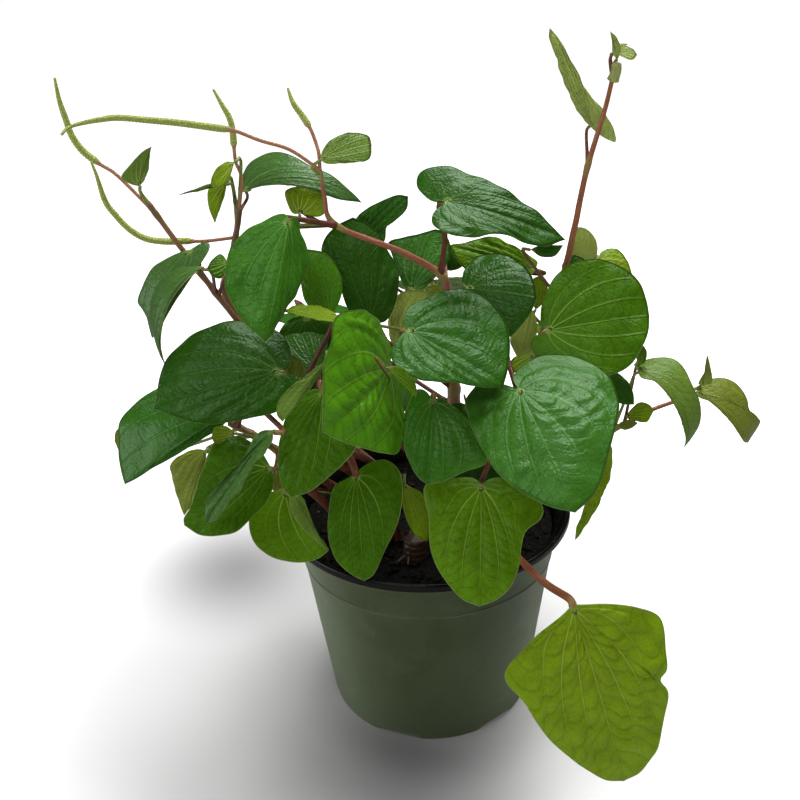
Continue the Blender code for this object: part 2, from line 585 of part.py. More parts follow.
def build_leaf(name, leaf):
    """A leaf and its stalk, grown as one piece."""
    blade = build_blade(name, leaf)
    forward, _, up = leaf_frame(leaf)
    rise = radians(leaf["bend"]) / 2
    along, normal = forward * cos(rise) + up * sin(rise), up * cos(rise) - forward * sin(rise)
    base = np.asarray(leaf["base"], float)
    route = [*leaf["route"], base - (along * 0.55 + normal * 0.85) * 6]
    start = leave_stem(leaf["stem"], leaf["height"], route[0], STALK_RADIUS)
    path = smooth_route([start, *route, base + normal * STALK_REACH], STALK_STEP)
    radii = np.linspace(STALK_RADIUS, STALK_RADIUS * 0.85, len(path))
    verts, faces = tube(path, radii, STALK_SIDES)
    combine(blade, make_object("stalk", verts, faces, "stem"), "UNION")


def build_spike(name, stem, height, points, bare):
    """A flower spike: a thin bare stalk that widens into the tapering spike."""
    start = leave_stem(stem, height, points[0], SPIKE_STALK_RADIUS)
    path = smooth_route([start, *points], SPIKE_STEP)
    run = np.linspace(0, 1, len(path))
    split = bare / len(points)
    radii = np.interp(run, [0, split, split + 0.04, 0.8, 1],
                      [SPIKE_STALK_RADIUS, SPIKE_STALK_RADIUS, SPIKE_RADIUS, SPIKE_RADIUS * 0.8,
                       SPIKE_TIP_RADIUS])
    verts, faces = tube(path, radii, SPIKE_SIDES)
    make_object(name, verts, faces, "spike")


def main():
    for old in list(bpy.data.objects):
        bpy.data.objects.remove(old)
    build_pot()
    build_soil()
    build_stump()
    for name in STEMS:
        build_stem(name)
    for name, leaf in LEAVES.items():
        build_leaf(name, LEAF_HABIT | leaf)
    for name, spike in SPIKES.items():
        build_spike(name, *spike)


main()
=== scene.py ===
"""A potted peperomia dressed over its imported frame: pot, soil, stems, leaves and flower spikes.

Sizes and places are in millimetres, with the origin at the centre of the pot's underside and
+Z up; they become metres where a mesh is made. The leaves, stems and spikes follow the same
named shapes as the frame's solids, with their veins, quilting, margins and finishes added.
"""
from math import cos, pi, radians, sin, sqrt

import bpy
import numpy as np
from bpy.props import FloatProperty, FloatVectorProperty, IntProperty, PointerProperty
from mathutils import Matrix, Vector


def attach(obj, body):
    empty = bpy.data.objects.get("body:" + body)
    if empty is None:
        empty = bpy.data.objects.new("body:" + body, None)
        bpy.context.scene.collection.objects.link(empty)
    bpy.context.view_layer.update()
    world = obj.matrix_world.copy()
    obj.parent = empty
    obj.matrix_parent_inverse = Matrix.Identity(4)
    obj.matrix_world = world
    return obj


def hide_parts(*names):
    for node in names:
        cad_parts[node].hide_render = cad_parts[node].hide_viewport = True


bl_info = {
    "name": "Potted Peperomia",
    "version": (1, 0, 0),
    "blender": (4, 5, 0),
    "location": "View3D > Sidebar > Plant",
    "description": "Dresses a potted peperomia over its packed frame",
    "category": "Object",
}

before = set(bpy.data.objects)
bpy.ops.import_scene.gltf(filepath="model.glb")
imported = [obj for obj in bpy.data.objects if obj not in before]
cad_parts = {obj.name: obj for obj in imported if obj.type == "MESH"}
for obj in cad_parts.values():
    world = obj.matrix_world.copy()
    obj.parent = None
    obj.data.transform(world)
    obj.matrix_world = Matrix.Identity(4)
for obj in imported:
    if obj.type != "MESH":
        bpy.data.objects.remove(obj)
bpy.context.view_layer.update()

MM = 0.001
ROOT = "root"


# ---- the plant's shape -----------------------------------------------------------------

SOIL_LEVEL = 103.0
SOIL_CLEAR = 107.0
ROOT_DEPTH = 10.0
STALK_RADIUS = 1.3
SPIKE_STALK_RADIUS = 0.8
SPIKE_RADIUS = 1.5
SPIKE_TIP_RADIUS = 0.5
STUMP_PLACE = (-7, -36)
STUMP_RADIUS = 6.5
STUMP_TOP = 116.0

# Half the outline of a leaf without one of its own, from beside its tip to beside its stalk,
# in lengths along and widths across. Points of the lobe move back by their share of its depth.
HALF_OUTLINE = [(0.94, 0.13), (0.77, 0.32), (0.50, 0.46), (0.18, 0.50)]
LOBE_OUTLINE = [(0.08, 0.40, -0.75), (0.02, 0.26, -1.0), (0.0, 0.10, -0.9)]
NOTCH = -0.03
TAPER = 0.15

# Each stem: the points it passes through, then its radius at the soil and at its end.
STEMS = {
    "stem_centre": ([(18, 2), (17, 0, 150), (15, 0, 195), (13, 0, 233), (9, -1, 242),
                     (-9, -6, 255), (-38, -14, 271), (-42, -16, 285), (-43, -18, 297)], 4.6, 0.9),
    "stem_left": ([(-24, 0), (-32, -2, 125), (-54, -10, 168), (-76, -15, 209),
                   (-95, -18, 242), (-109, -19, 266), (-120, -20, 286)], 2.6, 1.3),
    "stem_back_left": ([(-12, 16), (-24, 12, 128), (-50, 2, 162), (-72, -6, 196), (-92, -9, 236),
                        (-90, -10, 250), (-84, -12, 267), (-81, -12, 280)], 2.6, 1.3),
    "stem_right_tall": ([(30, 10), (40, 12, 140), (58, 14, 190), (70, 13, 228),
                         (75, 8, 259), (79, 5, 287), (86, 5, 314), (90, 5, 334)], 3.0, 1.1),
    "stem_right": ([(36, -6), (48, -9, 128), (74, -14, 150), (96, -15, 162),
                    (114, -12, 170), (126, -9, 173), (134, -6, 177)], 2.6, 1.1),
    "stem_front_left": ([(-16, -20), (-26, -26, 124), (-44, -32, 143), (-62, -33, 158),
                         (-82, -27, 171), (-95, -24, 178)], 3.0, 1.8),
    "stem_front": ([(5, -20), (4, -22, 130), (-5, -27, 165), (-10, -29, 196)], 3.0, 1.8),
    "stem_front_right": ([(24, -14), (28, -18, 140), (35, -26, 190), (38, -33, 222)], 3.0, 1.5),
    "stem_back": ([(14, 28), (17, 40, 140), (14, 50, 185), (2, 56, 222)], 3.0, 1.6),
}

# What a leaf does unless its own line says otherwise. Its stalk leaves its stem at a height
# and passes through the points of its route; base is where the stalk meets the blade. Angles
# are in degrees: bend along the length, fold along the midrib, curl of each margin. The lobe
# is the depth behind the stalk in lengths. A leaf with its own outline gives each half from
# the notch to the tip, in hundredths of its length along and of its width across.
LEAF_HABIT = dict(route=(), bend=15, fold=0, curl=(-8, -8), lobe=0.2, quilt=1.0, wave=1.0)

LEAVES = {
    "leaf_front_large": dict(
        stem="stem_front_right", height=214, base=(41, -62, 206), tip=(58, -110, 173), width=68,
        face=(0, -0.8, 0.6), bend=25, fold=-4, curl=(-10, -10), quilt=1.05, tone="cool",
        left=[(-15, 0), (-26, 11), (-32, 28), (-26, 44), (-12, 56), (5, 61), (23, 60), (40, 53),
              (62, 39), (80, 27), (93, 15)],
        right=[(-12, 7), (-23, 15), (-23, 25), (-15, 34), (12, 38), (34, 37), (55, 34), (74, 25),
               (90, 13)]),
    "leaf_centre_top": dict(
        stem="stem_centre", height=196, route=[(4, -24, 214)], base=(-6, -48, 231),
        tip=(33, -65, 210), width=54, face=(0, -0.5, 0.87), fold=5, curl=(-10, -10), tone="dark",
        left=[(-11, 5), (-15, 20), (-9, 37), (3, 52), (17, 64), (34, 69), (54, 63), (71, 53),
              (84, 38), (94, 18)],
        right=[(-5, 9), (-4, 25), (8, 36), (25, 38), (47, 31), (68, 19), (87, 10)]),
    "leaf_centre_bright": dict(
        stem="stem_front", height=192, base=(-17, -52, 215), tip=(-44, -96, 208), width=66,
        face=(0.8, -0.55, 0.3), bend=25, fold=6, curl=(-12, -12), quilt=1.3, tone="bright",
        left=[(-38, 17), (-46, 28), (-21, 30), (4, 34), (18, 45), (36, 49), (58, 37), (78, 22),
              (91, 11)],
        right=[(-20, 7), (-24, 22), (-5, 41), (20, 52), (39, 54), (57, 45), (73, 35), (87, 20),
               (95, 10)]),
    "leaf_centre_low": dict(
        stem="stem_front", height=165, base=(3, -50, 197), tip=(-1, -74, 168), width=36,
        face=(0.05, -0.8, 0.55), fold=14, curl=(-10, -10), tone="leafy",
        left=[(-6, 10), (7, 30), (30, 54), (55, 70), (72, 69), (82, 45), (94, 21)],
        right=[(-14, 12), (-11, 24), (13, 34), (34, 36), (55, 34), (74, 26), (92, 14)]),
    "leaf_over_rim_left": dict(
        stem="stem_front_left", height=128, base=(-34, -45, 157), tip=(-32, -70, 115), width=36,
        face=(0, -0.85, 0.5), bend=18, fold=6, quilt=0.6, tone="mid",
        left=[(-8, 7), (-14, 25), (-12, 46), (2, 59), (23, 59), (49, 49), (73, 30), (94, 14)],
        right=[(1, 12), (8, 30), (30, 39), (54, 42), (78, 34), (93, 15)]),
    "leaf_over_rim_front": dict(
        stem="stem_front_right", height=130, route=[(31, -44, 166)], base=(24, -60, 157),
        tip=(20, -97, 118), width=51, face=(0, -0.75, 0.65), bend=20, fold=4, curl=(-10, -10),
        quilt=1.2, tone="fresh",
        left=[(-10, 10), (-9, 26), (-1, 42), (13, 55), (25, 54), (37, 40), (50, 36), (67, 34),
              (83, 27), (94, 15)],
        right=[(-10, 8), (-8, 26), (-4, 44), (4, 52), (26, 47), (51, 45), (68, 39), (83, 28),
               (95, 15)]),
    "leaf_hanging": dict(
        stem="stem_front_right", height=112, route=[(36, -50, 121), (43, -60, 116), (54, -70, 109)],
        base=(62, -98, 115), tip=(85, -118, 31), width=74, face=(0.1, -0.95, 0.2), bend=20, fold=4,
        curl=(-12, -12), quilt=1.3, tone="lime", stalk=1.9, bark="orange",
        left=[(-1, 6), (3, 22), (9, 37), (18, 49), (30, 48), (44, 44), (49, 38), (58, 41), (72, 34),
              (87, 24), (97, 11)],
        right=[(1, 9), (7, 28), (18, 49), (26, 52), (39, 45), (60, 38), (78, 26), (93, 13)]),
    "leaf_left_large": dict(
        stem="stem_left", height=190, base=(-66, -50, 215), tip=(-120, -62, 205), width=54,
        face=(-0.1, -0.75, 0.66), bend=28, curl=(-12, -12), quilt=0.7, tone="deep",
        left=[(-9, 4), (-20, 12), (-12, 24), (8, 33), (31, 33), (58, 29), (76, 21), (89, 10)],
        right=[(-11, 3), (-16, 18), (-13, 35), (-1, 47), (17, 57), (39, 56), (61, 52), (77, 41),
               (89, 25)]),
    "leaf_left_low": dict(
        stem="stem_front_left", height=176, base=(-90, -38, 191), tip=(-145, -42, 156), width=36,
        face=(-0.3, -0.85, 0.5), bend=25, fold=-8, curl=(-10, -10), quilt=0.6, tone="dark",
        left=[(13, 11), (27, 11), (49, 10), (71, 6), (87, 4)],
        right=[(-5, 20), (2, 53), (18, 78), (44, 95), (66, 101), (83, 94), (93, 64), (99, 27)]),
    "leaf_lower_left_broad": dict(
        stem="stem_front_left", height=164, base=(-73, -59, 171), tip=(-110, -79, 155), width=46,
        face=(-0.2, -0.75, 0.6), bend=20, tone="mid",
        left=[(1, 10), (11, 22), (27, 30), (45, 34), (61, 36), (79, 29), (93, 17)],
        right=[(-5, 19), (-2, 36), (8, 52), (26, 57), (42, 48), (61, 32), (82, 14), (96, 7)]),
    "leaf_lower_left_folded": dict(
        stem="stem_left", height=188, route=[(-76, -42, 196)], base=(-68, -70, 195),
        tip=(-97, -93, 164), width=26, face=(-0.6, -0.6, 0.5), bend=12, fold=30, curl=(0, 0),
        tone="dusky",
        left=[(8, 32), (23, 38), (41, 43), (56, 47), (73, 43), (88, 34)],
        right=[(4, 14), (14, 19), (29, 13), (54, 14), (71, 20), (85, 19), (94, 10)]),
    "leaf_lower_left_pale": dict(
        stem="stem_front_left", height=172, base=(-110, -16, 158), tip=(-122, -30, 130), width=38,
        face=(-0.3, -0.85, 0.4), bend=18, curl=(-10, -10), tone="olive",
        left=[(18, 6), (40, 9), (72, 9)],
        right=[(1, 15), (15, 32), (38, 42), (63, 27), (81, 15)]),
    "leaf_rim_left_bright": dict(
        stem="stem_front_left", height=140, base=(-68, -46, 150), tip=(-48, -63, 128), width=36,
        face=(-0.2, -0.8, 0.5), fold=16, curl=(10, 10), quilt=0.9, tone="fresh",
        left=[(13, 6), (26, 11), (44, 4), (65, 1), (85, 2)],
        right=[(-12, 10), (-17, 27), (-10, 47), (5, 61), (25, 70), (46, 69), (66, 60), (88, 39),
               (99, 18)]),
    "leaf_lower_centre": dict(
        stem="stem_front", height=150, base=(-46, -56, 206), tip=(-62, -72, 163), width=40,
        face=(-0.1, -0.8, 0.6), bend=20, fold=5, quilt=0.9, tone="mid",
        left=[(-1, 18), (7, 38), (20, 54), (36, 55), (52, 48), (71, 34), (88, 19)],
        right=[(-1, 13), (10, 23), (25, 30), (41, 32), (61, 29), (79, 23), (93, 13)]),
    "leaf_hanging_upper_left": dict(
        stem="stem_centre", height=270, base=(-57, -36, 279), tip=(-68, -66, 236), width=48,
        face=(0.45, -0.75, 0.4), bend=20, fold=-24, quilt=0.6, tone="leafy",
        left=[(-8, 9), (2, 21), (16, 33), (34, 32), (55, 24), (77, 13), (93, 5)],
        right=[(-7, 6), (1, 23), (12, 37), (30, 48), (48, 48), (65, 44), (79, 33), (90, 20),
               (96, 7)]),
    "leaf_upper_bright": dict(
        stem="stem_centre", height=272, base=(-54, -10, 276), tip=(-52, -1, 286), width=20,
        face=(0, -0.8, 0.4), bend=20, curl=(10, 10), tone="lime",
        left=[(-2, 18), (29, 32), (67, 41), (91, 27)],
        right=[(4, 18), (-7, 42), (8, 57), (53, 58), (95, 44)]),
    "leaf_top_small": dict(
        stem="stem_centre", height=294, base=(-42, -20, 302), tip=(-20, -8, 305), width=15,
        face=(0.1, -0.8, 0.6), bend=20, curl=(0, 0), quilt=0.5, tone="pale",
        left=[(10, 26), (31, 47), (59, 54), (87, 46), (103, 27)],
        right=[(9, 21), (36, 34), (63, 44), (85, 39)]),
    "leaf_upper_arching": dict(
        stem="stem_back_left", height=277, base=(-79, 0, 285), tip=(-26, 4, 276), width=20,
        face=(-0.1, -0.5, 0.6), bend=105, curl=(-10, -10), quilt=0.4, wave=0.2, tone="dusky",
        left=[(-13, 24), (-12, 68), (-8, 103), (8, 103), (24, 94), (40, 68), (54, 39), (67, 30),
              (83, 10)],
        right=[(6, 7), (5, -28), (18, -30), (34, -18), (45, 8), (59, 25), (77, 30)]),
    "leaf_young_upper_left": dict(
        stem="stem_back_left", height=274, base=(-81, -15, 301), tip=(-91, -22, 293), width=12,
        face=(-0.3, -0.9, 0.3), bend=10, fold=10, curl=(0, 0), tone="lime",
        left=[(31, 25), (65, 40), (94, 33)],
        right=[(14, 21), (47, 28), (78, 18)]),
    "leaf_middle_dark": dict(
        stem="stem_centre", height=180, route=[(-12, -6, 205)], base=(-25, -8, 223),
        tip=(-31, 10, 268), width=36, face=(0, -0.9, 0.45), quilt=0.5, tone="deep",
        left=[(7, 22), (25, 30), (46, 29), (64, 38), (73, 49), (88, 36), (96, 18)],
        right=[(-6, 20), (9, 37), (27, 46), (45, 48), (63, 39), (79, 32), (93, 16)]),
    "leaf_middle_upper": dict(
        stem="stem_back", height=200, route=[(-22, 30, 232)], base=(-33, 18, 249),
        tip=(-4, 22, 274), width=20, face=(0, -0.9, 0.45), bend=10, fold=5, curl=(0, 0),
        tone="dark",
        left=[(12, 27), (32, 47), (53, 46), (72, 35), (91, 20)],
        right=[(15, 25), (39, 42), (54, 20), (71, 24), (88, 21)]),
    "leaf_left_middle": dict(
        stem="stem_left", height=185, base=(-43, -20, 230), tip=(-53, -6, 258), width=26,
        face=(-0.1, -0.85, 0.5), quilt=0.7, tone="bright",
        left=[(7, 19), (24, 32), (47, 32), (72, 24), (90, 14)],
        right=[(8, 19), (25, 36), (45, 42), (68, 40), (87, 27)]),
    "leaf_left_level": dict(
        stem="stem_centre", height=205, route=[(-22, -20, 224)], base=(-40, -27, 232),
        tip=(-62, -38, 239), width=18, face=(0, -0.15, 1), bend=10, curl=(0, 0), lobe=0.05,
        tone="lime"),
    "leaf_behind_stem": dict(
        stem="stem_centre", height=205, base=(-4, 10, 231), tip=(9, 26, 256), width=32,
        face=(0, -0.8, 0.6), fold=5, tone="cool",
        left=[(-1, 12), (16, 29), (37, 47), (54, 60), (66, 45), (82, 22)],
        right=[(1, 14), (21, 26), (42, 34), (64, 37), (86, 30), (100, 15)]),
    "leaf_middle_pale": dict(
        stem="stem_back", height=205, base=(4, 26, 224), tip=(-12, 16, 200), width=20,
        face=(0, -0.9, 0.4), bend=10, curl=(0, 0), tone="olive"),
    "leaf_upper_right_broad": dict(
        stem="stem_centre", height=241, route=[(12, -8, 262)], base=(13, -15, 280),
        tip=(65, -25, 263), width=42, face=(0.1, -0.62, 0.78), bend=22, fold=8, curl=(-12, -12),
        quilt=0.55, tone="deep",
        left=[(-7, -3), (-17, 0), (-28, 12), (-31, 27), (-24, 38), (-11, 45), (4, 45), (20, 41),
              (38, 35), (57, 25), (74, 17), (90, 5)],
        right=[(-2, 8), (-7, 19), (-6, 32), (2, 42), (16, 45), (31, 38), (49, 27), (67, 25),
               (85, 20)]),
    "leaf_right_lime": dict(
        stem="stem_back", height=210, route=[(10, 40, 234)], base=(57, 18, 236), tip=(15, 21, 249),
        width=26, face=(0, -0.8, 0.6), curl=(0, 0), tone="fresh",
        left=[(8, 36), (34, 61), (62, 49), (85, 28)],
        right=[(-2, 18), (17, 27), (35, 35), (51, 39), (69, 28), (85, 11)]),
    "leaf_centre_right_folded": dict(
        stem="stem_centre", height=216, base=(22, -20, 240), tip=(52, -31, 238), width=40,
        face=(0, -0.75, 0.65), bend=20, fold=-12, quilt=0.8, tone="deep",
        left=[(-14, 8), (-19, 26), (-12, 45), (7, 57), (38, 55), (64, 47), (83, 33), (95, 14)],
        right=[(7, 10), (31, 14), (51, 24), (64, 40), (73, 49), (86, 34), (96, 17)]),
    "leaf_right_large": dict(
        stem="stem_right_tall", height=200, base=(58, -30, 222), tip=(104, -30, 227), width=60,
        face=(0.1, -0.75, 0.65), fold=4, curl=(-10, -10), quilt=0.4, tone="mid",
        left=[(-7, 5), (-4, 19), (5, 32), (18, 45), (35, 51), (52, 52), (72, 48), (87, 39),
              (96, 27), (100, 13)],
        right=[(-9, 3), (-18, 4), (-20, 13), (-11, 25), (11, 36), (36, 42), (57, 42), (74, 36),
               (87, 24), (96, 12)]),
    "leaf_right_arching": dict(
        stem="stem_right", height=161, route=[(97, -24, 182)], base=(103, -25, 197),
        tip=(124, -35, 160), width=22, face=(0.2, -0.5, 0.6), bend=120, fold=5, curl=(0, 0),
        quilt=0.4, wave=0.2, tone="pale",
        left=[(-13, 18), (-9, 31), (0, 52), (12, 72), (26, 70), (40, 57), (58, 52), (76, 39),
              (90, 18)],
        right=[(7, 17), (19, 4), (33, 0), (48, 5), (68, 15)]),
    "leaf_right_end": dict(
        stem="stem_right", height=175, base=(138, -6, 175), tip=(165, -10, 148), width=20,
        face=(-0.1, -0.5, 0.6), bend=105, fold=0, curl=(0, 0), quilt=0.4, wave=0.2, tone="olive",
        left=[(-4, 19), (1, 47), (14, 70), (31, 74), (49, 60), (63, 44), (93, 57)],
        right=[(5, 9), (19, 4), (33, -1), (57, 18), (81, 21)]),
    "leaf_top_tall": dict(
        stem="stem_right_tall", height=288, base=(81, 10, 307), tip=(60, 5, 350), width=18,
        face=(0.6, -0.75, 0.25), bend=10, fold=4, curl=(0, 0), tone="young",
        left=[(12, 21), (33, 32), (57, 38), (79, 29), (92, 21)],
        right=[(-10, 9), (-27, 41), (-34, 68), (-18, 74), (6, 52), (36, 25), (64, 15), (89, 8)]),
    "leaf_right_behind": dict(
        stem="stem_right_tall", height=205, base=(91, 20, 238), tip=(107, 14, 229), width=22,
        face=(0.2, -0.8, 0.5), tone="lime",
        left=[(-12, 17), (1, 39), (29, 46), (61, 31)],
        right=[(30, 23), (59, 27), (88, 16)]),
    "leaf_right_drooping": dict(
        stem="stem_right", height=158, base=(85, -42, 166), tip=(69, -60, 126), width=13,
        face=(0.6, -0.7, 0.3), bend=20, curl=(0, 0), lobe=0.05, tone="lime"),
    "leaf_far_left_outer": dict(
        stem="stem_left", height=252, base=(-103, -27, 265), tip=(-123, -36, 228), width=20,
        face=(-0.3, -0.5, 0.3), bend=60, curl=(-10, -10), quilt=0.4, wave=0.2, tone="dusky",
        right=[(7, 22), (20, 44), (34, 64), (48, 67), (67, 68), (74, 65), (77, 41), (84, 20)]),
    "leaf_far_left_inner": dict(
        stem="stem_left", height=242, base=(-96, -40, 261), tip=(-115, -50, 220), width=16,
        face=(-0.7, -0.65, 0.3), bend=95, curl=(-10, -10), quilt=0.4, wave=0.2, tone="dusky",
        left=[(11, -6), (19, -36), (31, -47), (44, -42), (56, -23), (73, 2)],
        right=[(5, 53), (11, 106), (25, 113), (39, 130), (52, 93), (66, 70), (80, 30)]),
    "leaf_young_left_top": dict(
        stem="stem_left", height=284, base=(-121, -25, 295), tip=(-114, -23, 311), width=14,
        face=(0, -0.9, 0.3), bend=10, fold=10, curl=(0, 0), tone="pale",
        left=[(-5, 29), (4, 60), (39, 45), (79, 22)],
        right=[(18, 11), (49, 13), (77, 4)]),
    "leaf_inside_rim": dict(
        stem="stem_front_left", height=124, base=(-11, -40, 149), tip=(-1, -50, 122), width=16,
        face=(0, -0.9, 0.4), bend=10, curl=(0, 0), tone="lime",
        left=[(10, 16), (23, 38), (48, 36), (75, 25)],
        right=[(14, 20), (33, 31), (59, 35), (84, 27)]),
    "leaf_left_shaded": dict(
        stem="stem_back_left", height=170, base=(-53, -4, 195), tip=(-62, 14, 211), width=26,
        face=(0.2, -0.9, 0.4), bend=10, curl=(0, 0), quilt=0.4, tone="deep",
        left=[(-1, 22), (36, 33), (74, 39), (101, 26)],
        right=[(5, 19), (32, 37), (64, 45), (89, 25)]),
    "leaf_back_left": dict(
        stem="stem_back_left", height=165, route=[(-46, 32, 190)], base=(-50, 44, 208),
        tip=(-88, 74, 190), width=50, face=(-0.3, 0.4, 0.85), bend=25, tone="dark"),
    "leaf_back_middle": dict(
        stem="stem_back", height=205, base=(10, 76, 212), tip=(18, 118, 186), width=54,
        face=(0, 0.45, 0.9), bend=25, fold=4, tone="dark"),
    "leaf_back_right": dict(
        stem="stem_right_tall", height=150, route=[(54, 34, 180)], base=(60, 46, 194),
        tip=(92, 78, 172), width=50, face=(0.3, 0.4, 0.85), bend=25, tone="mid"),
    "leaf_back_low": dict(
        stem="stem_back", height=150, base=(-14, 66, 168), tip=(-34, 104, 136), width=48,
        face=(-0.2, 0.7, 0.6), bend=25, fold=4, tone="mid"),
}

